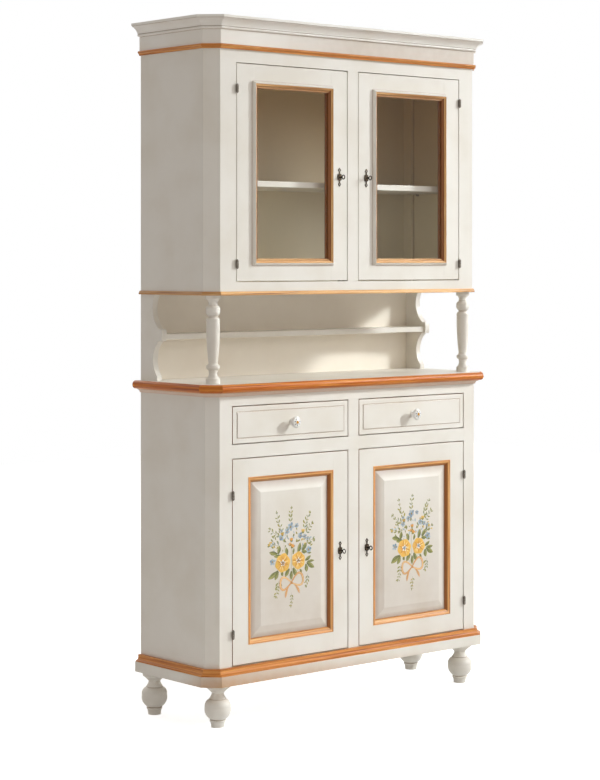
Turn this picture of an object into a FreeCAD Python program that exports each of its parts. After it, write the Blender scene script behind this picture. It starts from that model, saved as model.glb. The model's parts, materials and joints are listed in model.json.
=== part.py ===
import FreeCAD, Part
import math
import os

from FreeCAD import Vector

# A painted country dresser: a base with drawers over doors, an open niche and a glazed hutch above.
# Millimetres. X runs across the front, Y from front to back and Z up.
# The origin is on the floor, under the middle of the whole piece.

# Heights, from the floor up
foot_height = 128.5
plinth_height = 30.5
base_floor_thickness = 20.5
base_door_opening = 614.75
drawer_rail_height = 40.5
drawer_opening = 115.0
base_top_rail_height = 40.25
counter_thickness = 25.0
niche_height = 261.5
hutch_bottom_rail_height = 39.0
hutch_door_opening = 651.0
hutch_top_rail_height = 37.0
frieze_height = 58.0
cornice_height = 38.5

# Plan of the two carcasses
carcass_width = 1124.0
carcass_depth = 346.0
base_chamfer = 31.0
hutch_chamfer = 36.0
hutch_setback = 3.0
base_post_face = 47.0
hutch_post_face = 60.0
post_return = 9.0
post_web = 11.0
centre_stile_width = 43.0

# Board thicknesses
side_thickness = 18.0
back_thickness = 12.0
frame_thickness = 22.0
shelf_thickness = 18.0
niche_shelf_thickness = 17.0
hutch_board_thickness = 18.0
door_thickness = 21.5
stop_thickness = 12.0
stop_overlap = 11.5

# Running clearances
door_gap = 2.5
slide_clearance = 0.3
glass_clearance = 1.5
pin_clearance = 0.05
dowel_clearance = 0.1
mitre_gap = 0.1

# Plinth and feet
plinth_reach = 22.0
plinth_board = 28.0
plinth_back_rail = 18.0
foot_block_width = 90.0
foot_spigot_radius = 10.0
foot_spigot_length = 25.0
front_foot_from_side = 56.0
front_foot_from_front = 40.0
back_foot_from_side = 22.0
back_foot_from_back = 40.0
foot_toe_radius = 19.5
foot_toe_height = 15.0
foot_toe_flare = 2.0
foot_bead_height = 8.0
foot_bead_swell = 2.8
foot_crease_radius = 22.0
foot_ring_round = 4.0
foot_ring_swell = 1.0
foot_bulb_radius = 38.8
foot_bulb_low_swell = 6.8
foot_bulb_high_swell = 5.0
foot_bulb_below_top = 68.0
foot_high_ring_below_top = 45.0
foot_high_ring_radius = 24.5
foot_high_ring_height = 3.0
foot_neck_radius = 17.8
foot_neck_hollow = 0.8
foot_neck_below_top = 27.5
foot_cap_radius = 36.3
foot_cap_height = 8.0
foot_cap_hollow = 0.8

# Mouldings: how far each stands out of the carcass
plinth_moulding_reach = 20.0
plinth_moulding_top_reach = 10.0
plinth_moulding_lip = 3.0
plinth_moulding_band = 8.0
plinth_moulding_hollow = 2.5
counter_board_reach = 19.5
counter_cove_height = 12.0
counter_cove_reach = 15.0
counter_cove_foot = 4.0
counter_cove_fillet = 2.0
counter_cove_hollow = 2.0
hutch_moulding_height = 11.5
hutch_moulding_reach = 8.5
hutch_moulding_nose = 6.0
hutch_moulding_round = 1.5
hutch_moulding_swell = 1.0
frieze_reach = 5.0
frieze_board = 18.0
frieze_bead_height = 14.0
frieze_bead_reach = 12.0
frieze_bead_nose = 7.0
frieze_bead_round = 2.0
frieze_bead_foot = 1.5
frieze_bead_hollow = 1.0
cornice_reach = 36.0
cornice_fascia = 7.5
cornice_astragal = 8.0
cornice_fillet = 2.0
cornice_step = 3.0
cornice_hollow = 3.0

# Shelves, battens and the pins that carry the shelves
hutch_shelf_height = 325.5
hutch_shelf_behind_posts = 1.0
base_shelf_height = 290.5
base_shelf_behind_posts = 20.0
shelf_end_clearance = 1.0
batten_width = 37.0
batten_thickness = 12.0
pin_radius = 3.0
pin_length = 20.0
pin_depth = 10.0
pin_from_front = 35.0
pin_from_back = 60.0

# Niche: scrolled brackets at the back, a narrow shelf and turned columns in front
bracket_foot_depth = 82.0
bracket_foot_height = 14.0
bracket_waist_depth = 92.0
bracket_nose_depth = 104.0
bracket_nose_height = 36.0
bracket_nose_bulge = 3.0
bracket_nose_below_shelf = 4.0
bracket_top_depth = 72.0
bracket_lower_hollow = 25.0
bracket_upper_hollow = 21.0
niche_shelf_height = 125.0
niche_shelf_depth = 86.0
column_from_side = 40.0
column_from_front = 42.0
column_foot_radius = 21.2
column_foot_height = 12.0
column_foot_step = 2.2
column_foot_hollow = 3.5
column_shoulder_height = 17.0
column_neck_radius = 13.8
column_neck_height = 38.0
column_neck_length = 3.0
column_ring_radius = 19.4
column_ring_height = 46.0
column_ring_length = 8.5
column_ring_swell = 1.0
column_shaft_low_radius = 13.8
column_shaft_low_height = 64.0
column_shaft_hollow = 2.0
column_shaft_high_radius = 20.2
column_shaft_below_top = 78.0
column_shaft_swell = 2.0
column_shoulder_swell = 3.0
column_high_neck_radius = 13.5
column_high_neck_below_top = 64.0
column_high_neck_length = 3.0
column_bulb_radius = 20.9
column_bulb_below_top = 44.0
column_bulb_swell = 3.0
column_throat_below_top = 30.0
column_cap_radius = 21.6
column_cap_height = 10.5
column_cap_step = 3.0
column_cap_fillet = 2.0
column_cap_hollow = 2.5

# Glazed doors
hutch_stile = 66.0
hutch_rail_bottom = 54.0
hutch_rail_top = 57.0
bead_width = 7.5
bead_height = 11.0
bead_swell = 1.9
slip_width = 12.5
slip_depth = 2.0
slip_step_width = 5.8
slip_step_below_bead = 5.0
slip_step_height = 1.6
slip_edge_height = 1.0
slip_hollow = 1.2
slip_low_hollow = 1.5
glass_thickness = 4.0
rear_stop_width = 14.0
rear_stop_depth = 10.0

# Panelled doors
base_stile = 60.0
base_rail = 56.0
sticking_width = 16.0
sticking_depth = 10.5
sticking_proud = 1.0
sticking_lip = 3.0
sticking_lip_hollow = 0.5
sticking_edge_height = 2.5
sticking_swell = 1.2
panel_thickness = 6.0
panel_bevel = 33.0
panel_field_depth = 2.0

# Drawers
drawer_side_thickness = 12.0
drawer_side_height = 90.0
drawer_back_space = 32.0
drawer_bottom_thickness = 6.0
drawer_bottom_rise = 8.0
drawer_groove_depth = 5.0
drawer_border = 14.5
drawer_groove_width = 3.0
drawer_field_rise = 1.5
drawer_field_round = 0.9
runner_thickness = 18.0
runner_width = 34.0
guide_height = 20.0
knob_radius = 17.2
knob_projection = 28.0
knob_foot_radius = 9.5
knob_foot_height = 2.5
knob_foot_swell = 0.8
knob_neck_radius = 5.5
knob_neck_height = 6.0
knob_neck_length = 9.0
knob_neck_hollow = 1.0
knob_cup_hollow = 1.0
knob_rim_below_top = 9.5
knob_rim_height = 2.5
knob_rim_swell = 0.8
knob_shoulder_swell = 1.5
knob_dome_radius = 10.5
knob_dome_rise = 2.5
knob_spigot_radius = 4.0
knob_spigot_length = 12.0

# Locks, keys and keyhole plates
lock_from_edge = 32.0
hutch_lock_height = 318.5
base_lock_height = 303.0
lock_length = 46.0
lock_depth = 11.0
lock_height = 52.0
lock_wall = 1.5
bolt_length = 28.0
bolt_thickness = 5.0
bolt_height = 10.0
bolt_above_key = 8.5
bolt_throw = 9.0
strike_spare = 3.5
key_radius = 2.0
key_hole_radius = 2.4
key_reach = 26.5
key_bow_radius = 6.0
key_bow_wire = 1.6
key_collar_radius = 3.2
key_collar_length = 2.0
key_collar_from_bow = 2.0
key_bit_reach = 7.0
key_bit_width = 4.5
key_bit_thickness = 2.0
plate_thickness = 1.6
plate_height = 58.0
plate_eye_width = 18.0
plate_eye_height = 25.0
plate_leaf_radius = 2.6
plate_leaf_from_middle = 6.0
plate_leaf_from_key = 7.0
plate_piercing = 2.6
plate_bar_width = 4.4
plate_tip_width = 11.5
plate_tip_height = 14.5

# Hinges
hinge_height = 23.0
hinge_forward = 4.75
knuckle_radius = 4.0
knuckle_gap = 0.3
hinge_pin_radius = 1.5
hinge_leaf_length = 18.0
hinge_tip = 2.5
hinge_tip_radius = 2.4
hutch_hinge_from_top = 75.0
hutch_hinge_from_bottom = 51.0
base_hinge_from_top = 107.0
base_hinge_from_bottom = 93.0

# Rounded edges
eased_edge = 1.5

# Levels worked out from the heights
z_plinth = foot_height
z_floor = z_plinth + plinth_height
z_base = z_floor + base_floor_thickness
z_rail = z_base + base_door_opening
z_drawer = z_rail + drawer_rail_height
z_top_rail = z_drawer + drawer_opening
z_counter = z_top_rail + base_top_rail_height
z_niche = z_counter + counter_thickness
z_hutch = z_niche + niche_height
z_glazed = z_hutch + hutch_bottom_rail_height
z_glazed_top = z_glazed + hutch_door_opening
z_frieze = z_glazed_top + hutch_top_rail_height
z_cornice = z_frieze + frieze_height
z_top = z_cornice + cornice_height

# Planes worked out from the plan
half_width = carcass_width / 2
counter_nose = counter_thickness / 2
counter_reach = counter_board_reach + counter_nose
knob_reach = drawer_field_rise + knob_projection
front_reach = max(counter_reach, cornice_reach - hutch_setback, knob_reach, key_reach)
base_front = (front_reach - carcass_depth) / 2
back = base_front + carcass_depth
hutch_front = base_front + hutch_setback
back_face = back - back_thickness
side_face = half_width - side_thickness
base_edge = half_width - base_chamfer - base_post_face
hutch_edge = half_width - hutch_chamfer - hutch_post_face
centre_edge = centre_stile_width / 2
z_niche_shelf = z_niche + niche_shelf_height
z_hutch_shelf = z_hutch + hutch_shelf_height
z_base_shelf = z_base + base_shelf_height


def box(x0, x1, y0, y1, z0, z1):
    return Part.makeBox(x1 - x0, y1 - y0, z1 - z0, Vector(x0, y0, z0))


def mirrored(shape):
    return shape.mirror(Vector(0, 0, 0), Vector(1, 0, 0))


def both_sides(shapes):
    """The pieces of the right-hand side with their twins on the left."""
    return shapes + [mirrored(shape) for shape in shapes]


def outlined(points, place):
    """A face through points (a, b) or (a, b, bow). A bow bends the stretch that ends at its point
    to the right-hand side of travel, by that much at its middle."""
    edges = []
    for here, there in zip(points, points[1:] + points[:1]):
        start = place(here[0], here[1])
        end = place(there[0], there[1])
        if len(there) == 2:
            edges.append(Part.makeLine(start, end))
            continue
        run = there[0] - here[0]
        rise = there[1] - here[1]
        share = there[2] / math.hypot(run, rise)
        middle = place(here[0] + run / 2 + rise * share, here[1] + rise / 2 - run * share)
        edges.append(Part.Arc(start, middle, end).toShape())
    return Part.Face(Part.Wire(edges))


def prism(points, z0, z1):
    face = outlined(points, lambda x, y: Vector(x, y, z0))
    return face.extrude(Vector(0, 0, z1 - z0))


def turned(stations):
    """A turning about Z through stations (radius, height) or (radius, height, bow)."""
    points = [(0.0, stations[0][1])] + stations
    if stations[-1][0] > 0:
        points = points + [(0.0, stations[-1][1])]
    face = outlined(points, lambda r, z: Vector(r, 0, z))
    return face.revolve(Vector(0, 0, 0), Vector(0, 0, 1), 360)


def dome_bow(radius, rise):
    """The bow of a domed end, so that its arc is centred on the axis."""
    sphere = (radius ** 2 + rise ** 2) / (2 * rise)
    half_chord = math.hypot(radius, rise) / 2
    return sphere - math.sqrt(sphere ** 2 - half_chord ** 2)


def moved(shape, x, y, z):
    copy = shape.copy()
    copy.translate(Vector(x, y, z))
    return copy


def beyond(point, direction, reach):
    """All that lies past a plane that stands on a point and faces a level direction."""
    block = Part.makeBox(reach, 2 * reach, 2 * reach, Vector(0, -reach, -reach))
    block.rotate(Vector(0, 0, 0), Vector(0, 0, 1), math.degrees(math.atan2(direction.y, direction.x)))
    block.translate(point)
    return block


def mitred_run(path, profile, level=0.0, closed=False, gap=mitre_gap):
    """Lengths of one moulding along a level path, mitred where they meet and square at free ends.
    The profile's first number is its reach to the right-hand side of travel, its second its height.
    The gap is the hairline between two lengths, square to their mitre."""
    corners = [Vector(x, y, level) for x, y in path]
    legs = list(zip(corners, corners[1:]))
    if closed:
        legs.append((corners[-1], corners[0]))
    ways = [(end - start).normalize() for start, end in legs]
    spare = 2 * max(abs(point[0]) for point in profile)
    lengths = []
    for number, (start, end) in enumerate(legs):
        way = ways[number]
        outward = Vector(way.y, -way.x, 0)
        origin = start - way * spare
        face = outlined(profile, lambda o, z: origin + outward * o + Vector(0, 0, z))
        run = (end - start).Length + 2 * spare
        piece = face.extrude(way * run)
        before = way
        after = way
        if closed or number > 0:
            before = (way + ways[number - 1]).normalize()
            start = start + before * (gap / 2)
        if closed or number + 1 < len(legs):
            after = (way + ways[(number + 1) % len(legs)]).normalize()
            end = end - after * (gap / 2)
        piece = piece.cut(beyond(start, before * -1, 2 * run))
        piece = piece.cut(beyond(end, after, 2 * run))
        lengths.extend(piece.Solids)
    return lengths


def plan(front, chamfer, offset=0.0):
    """The carcass plan from the left back corner round the front to the right back corner."""
    side = half_width + offset
    face = front - offset
    cut = chamfer + offset * (2 - math.sqrt(2))
    right = [(side - cut, face), (side, face + cut), (side, back)]
    left = [(-x, y) for x, y in reversed(right)]
    return left + right


def around_base(profile, level):
    return mitred_run(plan(base_front, base_chamfer), profile, level)


def around_hutch(profile, level):
    return mitred_run(plan(hutch_front, hutch_chamfer), profile, level)


def to_front(shape, face):
    """Stands a flat piece upright: its own Y becomes height and its own Z comes out of the front."""
    copy = shape.copy()
    copy.rotate(Vector(0, 0, 0), Vector(1, 0, 0), 90)
    copy.translate(Vector(0, face, 0))
    return copy


def eased_front(slab, radius):
    """A board with the edges of its front face rounded."""
    face = slab.BoundBox.YMin
    edges = [edge for edge in slab.Edges if edge.BoundBox.YMax < face + radius / 10]
    return slab.makeFillet(radius, edges)


# Base carcass

def post_depth(front, chamfer):
    return front + chamfer + post_return


def post_inner(chamfer):
    return half_width - chamfer - post_web


def post(front, chamfer, edge, z0, z1):
    """A corner post with its cut corner and the flat face beside the opening."""
    depth = post_depth(front, chamfer)
    inner = post_inner(chamfer)
    points = [
        (edge, front), (half_width - chamfer, front), (half_width, front + chamfer),
        (half_width, depth), (inner, depth), (inner, front + frame_thickness),
        (edge, front + frame_thickness),
    ]
    return prism(points, z0, z1)


def pin_places(y_front, y_back, z):
    return [(y_front + pin_from_front, z), (y_back - pin_from_back, z)]


def pins(places):
    """Shelf pins set into the inner face of the right-hand side."""
    start = side_face + pin_depth
    return [
        Part.makeCylinder(pin_radius, pin_length, Vector(start, y, z), Vector(-1, 0, 0))
        for y, z in places
    ]


base_shelf_front = post_depth(base_front, base_chamfer) + base_shelf_behind_posts
hutch_shelf_front = post_depth(hutch_front, hutch_chamfer) + hutch_shelf_behind_posts
base_pin_places = pin_places(base_shelf_front, back_face, z_base_shelf - pin_radius)
hutch_pin_places = pin_places(hutch_shelf_front, back_face, z_hutch_shelf - pin_radius)


def side_board(y0, z0, z1, places):
    board = box(side_face, half_width, y0, back, z0, z1)
    for pin in pins(places):
        board = board.cut(pin)
    return board


def base_sides():
    return both_sides([side_board(post_depth(base_front, base_chamfer), z_base, z_counter, base_pin_places)])


def base_posts():
    return both_sides([post(base_front, base_chamfer, base_edge, z_base, z_counter)])


def strike(front, key_height):
    """The pocket in the centre stile that takes the right-hand bolt."""
    middle = front + door_thickness / 2
    reach = bolt_thickness / 2 + slide_clearance
    low = key_height + bolt_above_key - slide_clearance
    high = key_height + bolt_above_key + bolt_height + slide_clearance
    depth = bolt_throw - door_gap + strike_spare
    return box(centre_edge - depth, centre_edge, middle - reach, middle + reach, low, high)


def centre_stile(front, z0, z1, key_height):
    stile = box(-centre_edge, centre_edge, front, front + frame_thickness, z0, z1)
    for pocket in both_sides([strike(front, key_height)]):
        stile = stile.cut(pocket)
    return stile


def stop_strip(front, z0, z1):
    """The strip behind the centre stile that the doors close against."""
    reach = centre_edge + stop_overlap
    face = front + frame_thickness
    return box(-reach, reach, face, face + stop_thickness, z0, z1)


def base_face_frame():
    inner = base_front + frame_thickness
    stile = centre_stile(base_front, z_base, z_top_rail, z_base + door_gap + base_lock_height)
    strip = stop_strip(base_front, z_base, z_rail)
    top = box(-base_edge, base_edge, base_front, inner, z_top_rail, z_counter)
    rail = box(centre_edge, base_edge, base_front, inner, z_rail, z_drawer)
    return [stile, strip, top] + both_sides([rail])


def base_floor():
    return [prism(plan(base_front, base_chamfer), z_floor, z_base)]


def back_panel(z0, z1):
    return [box(-side_face, side_face, back_face, back, z0, z1)]


def base_shelf():
    reach = side_face - shelf_end_clearance
    high = z_base_shelf + shelf_thickness
    shelf = box(-reach, reach, base_shelf_front, back_face, z_base_shelf, high)
    return [eased_front(shelf, eased_edge)]


def drawer_runners():
    """Runners from the drawer rail to the back, with the guides that keep the drawers straight."""
    y0 = base_front + frame_thickness
    low = z_drawer - runner_thickness
    high = z_drawer + guide_height
    outer = box(base_edge - runner_width / 2, base_edge + runner_width / 2, y0, back_face, low, z_drawer)
    outer_guide = box(base_edge, base_edge + runner_width / 2, y0, back_face, z_drawer, high)
    reach = centre_edge + runner_width / 2
    middle = box(-reach, reach, y0, back_face, low, z_drawer)
    middle_guide = box(-centre_edge, centre_edge, y0, back_face, z_drawer, high)
    return [middle, middle_guide] + both_sides([outer, outer_guide])


# Plinth and feet

def front_foot_place():
    return half_width - front_foot_from_side, base_front + front_foot_from_front


def back_foot_place():
    return half_width - back_foot_from_side, back - back_foot_from_back


def plinth():
    """Mitred boards under the base floor, a back rail and the blocks that the feet are dowelled into."""
    inner = plinth_reach - plinth_board
    profile = [(inner, 0), (plinth_reach, 0), (plinth_reach, plinth_height), (inner, plinth_height)]
    boards = around_base(profile, z_plinth)
    reach = half_width + inner
    rail_face = back - plinth_back_rail
    rail = box(-reach, reach, rail_face, back, z_plinth, z_floor)
    well = prism(plan(base_front, base_chamfer, inner), z_plinth, z_floor)
    blocks = []
    half_block = foot_block_width / 2
    for x, y in (front_foot_place(), back_foot_place()):
        near = box(x - half_block, half_width, base_front, y + half_block, z_plinth, z_floor)
        far = box(x - half_block, half_width, y - half_block, rail_face, z_plinth, z_floor)
        block = near.common(far).common(well)
        radius = foot_spigot_radius + dowel_clearance
        blocks.append(block.cut(Part.makeCylinder(radius, plinth_height, Vector(x, y, z_plinth))))
    return boards + [rail] + both_sides(blocks)


def plinth_moulding():
    high = base_floor_thickness
    profile = [
        (0, 0), (plinth_moulding_reach, 0), (plinth_moulding_reach, plinth_moulding_lip),
        (plinth_moulding_top_reach, high - plinth_moulding_band, -plinth_moulding_hollow),
        (plinth_moulding_top_reach, high), (0, high),
    ]
    return around_base(profile, z_floor)


def foot():
    """A turned bun foot: toe, bead, bulb, ring, hollow neck and cap, with a spigot on top."""
    cap = foot_height - foot_cap_height
    crease = foot_toe_height + foot_bead_height
    bulb = foot_height - foot_bulb_below_top
    high_ring = foot_height - foot_high_ring_below_top
    neck = foot_height - foot_neck_below_top
    stations = [
        (foot_toe_radius, 0), (foot_toe_radius + foot_toe_flare, foot_toe_height),
        (foot_crease_radius, crease, foot_bead_swell),
        (foot_bulb_radius, bulb, foot_bulb_low_swell),
        (foot_high_ring_radius, high_ring, foot_bulb_high_swell),
        (foot_high_ring_radius, high_ring + foot_high_ring_height, foot_ring_swell),
        (foot_neck_radius, neck, -foot_neck_hollow),
        (foot_cap_radius - foot_toe_flare, cap - foot_ring_round, -foot_cap_hollow),
        (foot_cap_radius, cap, foot_ring_swell),
        (foot_cap_radius, foot_height), (foot_spigot_radius, foot_height),
        (foot_spigot_radius, foot_height + foot_spigot_length),
    ]
    return turned(stations)


def feet():
    turning = foot()
    return both_sides([moved(turning, x, y, 0) for x, y in (front_foot_place(), back_foot_place())])


# Counter

def counter_top():
    """The painted board and the small painted cove under its edge."""
    board = prism(plan(base_front, base_chamfer, counter_board_reach), z_counter, z_niche)
    high = counter_cove_height
    fillet = high - counter_cove_fillet
    profile = [
        (0, 0), (counter_cove_foot, 0),
        (counter_cove_reach - counter_cove_fillet, fillet, -counter_cove_hollow),
        (counter_cove_reach, fillet), (counter_cove_reach, high), (0, high),
    ]
    return [board] + around_base(profile, z_counter - high)


def counter_edge():
    profile = [
        (counter_board_reach, 0), (counter_board_reach, counter_thickness, counter_nose),
    ]
    return around_base(profile, z_counter)


# Niche

def niche_brackets():
    """Scrolled boards that carry the back of the hutch, with a nose where the niche shelf meets them."""
    nose_low = z_niche_shelf - bracket_nose_below_shelf
    nose_high = nose_low + bracket_nose_height
    shoulder = z_niche + bracket_foot_height
    points = [
        (back, z_niche), (back, z_hutch), (back - bracket_top_depth, z_hutch),
        (back - bracket_waist_depth, nose_high, -bracket_upper_hollow),
        (back - bracket_nose_depth, nose_high), (back - bracket_nose_depth, nose_low, bracket_nose_bulge),
        (back - bracket_waist_depth, nose_low),
        (back - bracket_foot_depth, shoulder, -bracket_lower_hollow),
        (back - bracket_foot_depth, z_niche),
    ]
    face = outlined(points, lambda y, z: Vector(side_face, y, z))
    return both_sides([face.extrude(Vector(side_thickness, 0, 0))])


def niche_shelf():
    front = back_face - niche_shelf_depth
    high = z_niche_shelf + niche_shelf_thickness
    return [eased_front(box(-side_face, side_face, front, back_face, z_niche_shelf, high), eased_edge)]


def column():
    """A turned column: square-edged foot, ring, swelling shaft, bulb and a hollow capital."""
    ring = column_ring_radius
    neck = column_high_neck_radius
    cap = column_cap_radius
    high_neck = niche_height - column_high_neck_below_top
    throat = niche_height - column_throat_below_top
    cap_height = niche_height - column_cap_height
    swell = column_ring_swell
    stations = [
        (column_foot_radius, 0), (column_foot_radius, column_foot_height),
        (column_foot_radius - column_foot_step, column_shoulder_height, swell),
        (column_neck_radius, column_neck_height, -column_foot_hollow),
        (column_neck_radius, column_neck_height + column_neck_length), (ring, column_ring_height, swell),
        (ring, column_ring_height + column_ring_length, swell),
        (column_shaft_low_radius, column_shaft_low_height, -column_shaft_hollow),
        (column_shaft_high_radius, niche_height - column_shaft_below_top, column_shaft_swell),
        (neck, high_neck, column_shoulder_swell), (neck, high_neck + column_high_neck_length),
        (column_bulb_radius, niche_height - column_bulb_below_top, column_bulb_swell),
        (neck, throat, column_bulb_swell), (neck, throat + column_high_neck_length),
        (cap - column_cap_step, cap_height - column_cap_fillet, -column_cap_hollow),
        (cap, cap_height), (cap, niche_height),
    ]
    return turned(stations)


def columns():
    turning = moved(column(), half_width - column_from_side, base_front + column_from_front, z_niche)
    return both_sides([turning])


# Hutch carcass

def hutch_sides():
    """Side boards with a batten in each back corner."""
    side = side_board(post_depth(hutch_front, hutch_chamfer), z_hutch, z_frieze, hutch_pin_places)
    low = z_hutch + hutch_board_thickness
    high = z_frieze - hutch_board_thickness
    batten = box(side_face - batten_thickness, side_face, back_face - batten_width, back_face, low, high)
    return both_sides([side, batten])


def hutch_posts():
    return both_sides([post(hutch_front, hutch_chamfer, hutch_edge, z_hutch, z_frieze)])


def hutch_face_frame():
    inner = hutch_front + frame_thickness
    stile = centre_stile(hutch_front, z_glazed, z_glazed_top, z_glazed + door_gap + hutch_lock_height)
    low = z_hutch + hutch_board_thickness
    high = z_frieze - hutch_board_thickness
    strip = stop_strip(hutch_front, low, high)
    bottom = box(-hutch_edge, hutch_edge, hutch_front, inner, z_hutch, z_glazed)
    top = box(-hutch_edge, hutch_edge, hutch_front, inner, z_glazed_top, z_frieze)
    return [stile, strip, bottom, top]


def hutch_board(z0):
    """A board between the sides, notched round the corner posts."""
    high = z0 + hutch_board_thickness
    board = box(-side_face, side_face, hutch_front + frame_thickness, back_face, z0, high)
    depth = post_depth(hutch_front, hutch_chamfer)
    notch = box(post_inner(hutch_chamfer), half_width, hutch_front, depth, z0, high)
    for cut in both_sides([notch]):
        board = board.cut(cut)
    return board


def hutch_boards():
    return [hutch_board(z_hutch), hutch_board(z_frieze - hutch_board_thickness)]


def hutch_shelf():
    reach = side_face - shelf_end_clearance
    high = z_hutch_shelf + shelf_thickness
    board = box(-reach, reach, hutch_shelf_front, back_face, z_hutch_shelf, high)
    shelf = eased_front(board, eased_edge)
    inner = side_face - batten_thickness - shelf_end_clearance
    face = back_face - batten_width - shelf_end_clearance
    for notch in both_sides([box(inner, half_width, face, back, z_hutch_shelf, high)]):
        shelf = shelf.cut(notch)
    return [shelf]


def shelf_pins():
    return both_sides(pins(base_pin_places) + pins(hutch_pin_places))


def hutch_moulding():
    reach = hutch_moulding_reach
    high = hutch_moulding_height
    nose = reach - hutch_moulding_round
    profile = [
        (0, 0), (nose, 0), (nose, hutch_moulding_nose, hutch_moulding_round),
        (reach - hutch_moulding_nose, high, hutch_moulding_swell), (0, high),
    ]
    return around_hutch(profile, z_hutch)


def frieze_bead():
    high = frieze_bead_height
    nose = frieze_bead_reach - frieze_bead_round
    profile = [
        (frieze_reach, 0), (frieze_reach + frieze_bead_foot, 0),
        (nose, high - frieze_bead_nose, -frieze_bead_hollow), (nose, high, frieze_bead_round),
        (frieze_reach, high),
    ]
    return around_hutch(profile, z_frieze)


def cornice():
    """Frieze boards standing on the hutch, a board across the back and the crown moulding outside."""
    inner = frieze_reach - frieze_board
    high = frieze_height + cornice_height
    boards = [(inner, 0), (frieze_reach, 0), (frieze_reach, high), (inner, high)]
    reach = half_width + inner
    across = box(-reach, reach, back - frieze_board, back, z_frieze, z_top)
    neck = frieze_reach + cornice_astragal / 2
    cove = neck + cornice_astragal / 2
    lip = cornice_height - cornice_fascia
    edge = cornice_reach - cornice_step
    crown = [
        (frieze_reach, 0), (neck, 0), (neck, cornice_astragal, cornice_astragal / 2),
        (cove, cornice_astragal), (cove, cornice_astragal + cornice_fillet),
        (edge, lip - cornice_fillet, -cornice_hollow), (edge, lip), (cornice_reach, lip),
        (cornice_reach, cornice_height), (frieze_reach, cornice_height),
    ]
    return around_hutch(boards, z_frieze) + [across] + around_hutch(crown, z_cornice)


# Doors: each is built on the right-hand side, and its twin on the left is its mirror image

class Door:
    """Where a right-hand door sits: its edges, its face, its lock and its hinges."""

    def __init__(self, edge, front, z0, z1, frame, lock, hinges):
        self.x0 = centre_edge + door_gap
        self.x1 = edge - door_gap
        self.face = front
        self.rear = front + door_thickness
        self.z0 = z0 + door_gap
        self.z1 = z1 - door_gap
        self.stile, self.rail_bottom, self.rail_top = frame
        self.key_x = self.x0 + lock_from_edge
        self.key_z = self.z0 + lock
        self.hinge_x = edge - door_gap / 2
        self.hinge_y = front - hinge_forward
        self.hinge_levels = [self.z1 - hinges[0], self.z0 + hinges[1]]
        self.open_x0 = self.x0 + self.stile
        self.open_x1 = self.x1 - self.stile
        self.open_z0 = self.z0 + self.rail_bottom
        self.open_z1 = self.z1 - self.rail_top

    def opening_path(self):
        return [
            (self.open_x0, self.open_z0), (self.open_x1, self.open_z0),
            (self.open_x1, self.open_z1), (self.open_x0, self.open_z1),
        ]

    def opening_box(self, inset, y0, y1):
        return box(
            self.open_x0 + inset, self.open_x1 - inset, y0, y1, self.open_z0 + inset, self.open_z1 - inset
        )


hutch_door = Door(
    hutch_edge, hutch_front, z_glazed, z_glazed_top,
    (hutch_stile, hutch_rail_bottom, hutch_rail_top), hutch_lock_height,
    (hutch_hinge_from_top, hutch_hinge_from_bottom),
)
base_door = Door(
    base_edge, base_front, z_base, z_rail,
    (base_stile, base_rail, base_rail), base_lock_height,
    (base_hinge_from_top, base_hinge_from_bottom),
)


def lock_box(door, wall=0.0):
    """The space of the lock case in the door's edge, or of its inside."""
    middle = door.face + door_thickness / 2
    return box(
        door.x0 + wall, door.x0 + lock_length - wall,
        middle - lock_depth / 2 + wall, middle + lock_depth / 2 - wall,
        door.key_z - lock_height / 2 + wall, door.key_z + lock_height / 2 - wall,
    )


def keyhole(door):
    """A round hole with a slot under it, from in front of the plate into the lock case."""
    start = door.face - plate_thickness
    length = plate_thickness + door_thickness / 2
    hole = Part.makeCylinder(key_hole_radius, length, Vector(door.key_x, start, door.key_z), Vector(0, 1, 0))
    side = key_bit_thickness / 2 + slide_clearance
    low = door.key_z - key_bit_reach - slide_clearance
    slot = box(door.key_x - side, door.key_x + side, start, start + length, low, door.key_z)
    return hole.fuse(slot)


def door_frame(door):
    """Two stiles and two rails with rounded outer edges, mortised for the lock."""
    slab = eased_front(box(door.x0, door.x1, door.face, door.rear, door.z0, door.z1), eased_edge)
    slab = slab.cut(door.opening_box(0, door.face, door.rear))
    slab = slab.cut(lock_box(door)).cut(keyhole(door))
    pieces = []
    for x0, x1 in ((door.x0, door.open_x0), (door.open_x1, door.x1)):
        pieces.append(slab.common(box(x0, x1, door.face, door.rear, door.z0, door.z1)))
    for z0, z1 in ((door.z0, door.open_z0), (door.open_z1, door.z1)):
        pieces.append(slab.common(box(door.open_x0, door.open_x1, door.face, door.rear, z0, z1)))
    return pieces


def around_opening(door, profile):
    """Four mitred lengths round the door's opening. Reach is away from the opening, and height
    is out of the door's face."""
    lengths = mitred_run(door.opening_path(), profile, 0.0, True)
    return [to_front(length, door.face) for length in lengths]


def rear_stops(door, front_depth):
    low = -front_depth - rear_stop_depth
    profile = [(-rear_stop_width, low), (0, low), (0, -front_depth), (-rear_stop_width, -front_depth)]
    return around_opening(door, profile)


def glazed_frame(door):
    """The painted frame with the raised bead round its opening."""
    bead = [(0, 0), (bead_width, 0), (0, bead_height, bead_swell)]
    return door_frame(door) + around_opening(door, bead)


def glazing(door):
    """The wooden slip in front of the glass and the stops behind it."""
    step = bead_height - slip_step_below_bead
    slip = [
        (0, -slip_depth), (0, bead_height), (-slip_step_width, step, -slip_hollow),
        (-slip_step_width, step - slip_step_height), (-slip_width, slip_edge_height, -slip_low_hollow),
        (-slip_width, -slip_depth),
    ]
    return around_opening(door, slip) + rear_stops(door, slip_depth + glass_thickness)


def glass(door):
    near = door.face + slip_depth
    return [door.opening_box(glass_clearance, near, near + glass_thickness)]


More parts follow.
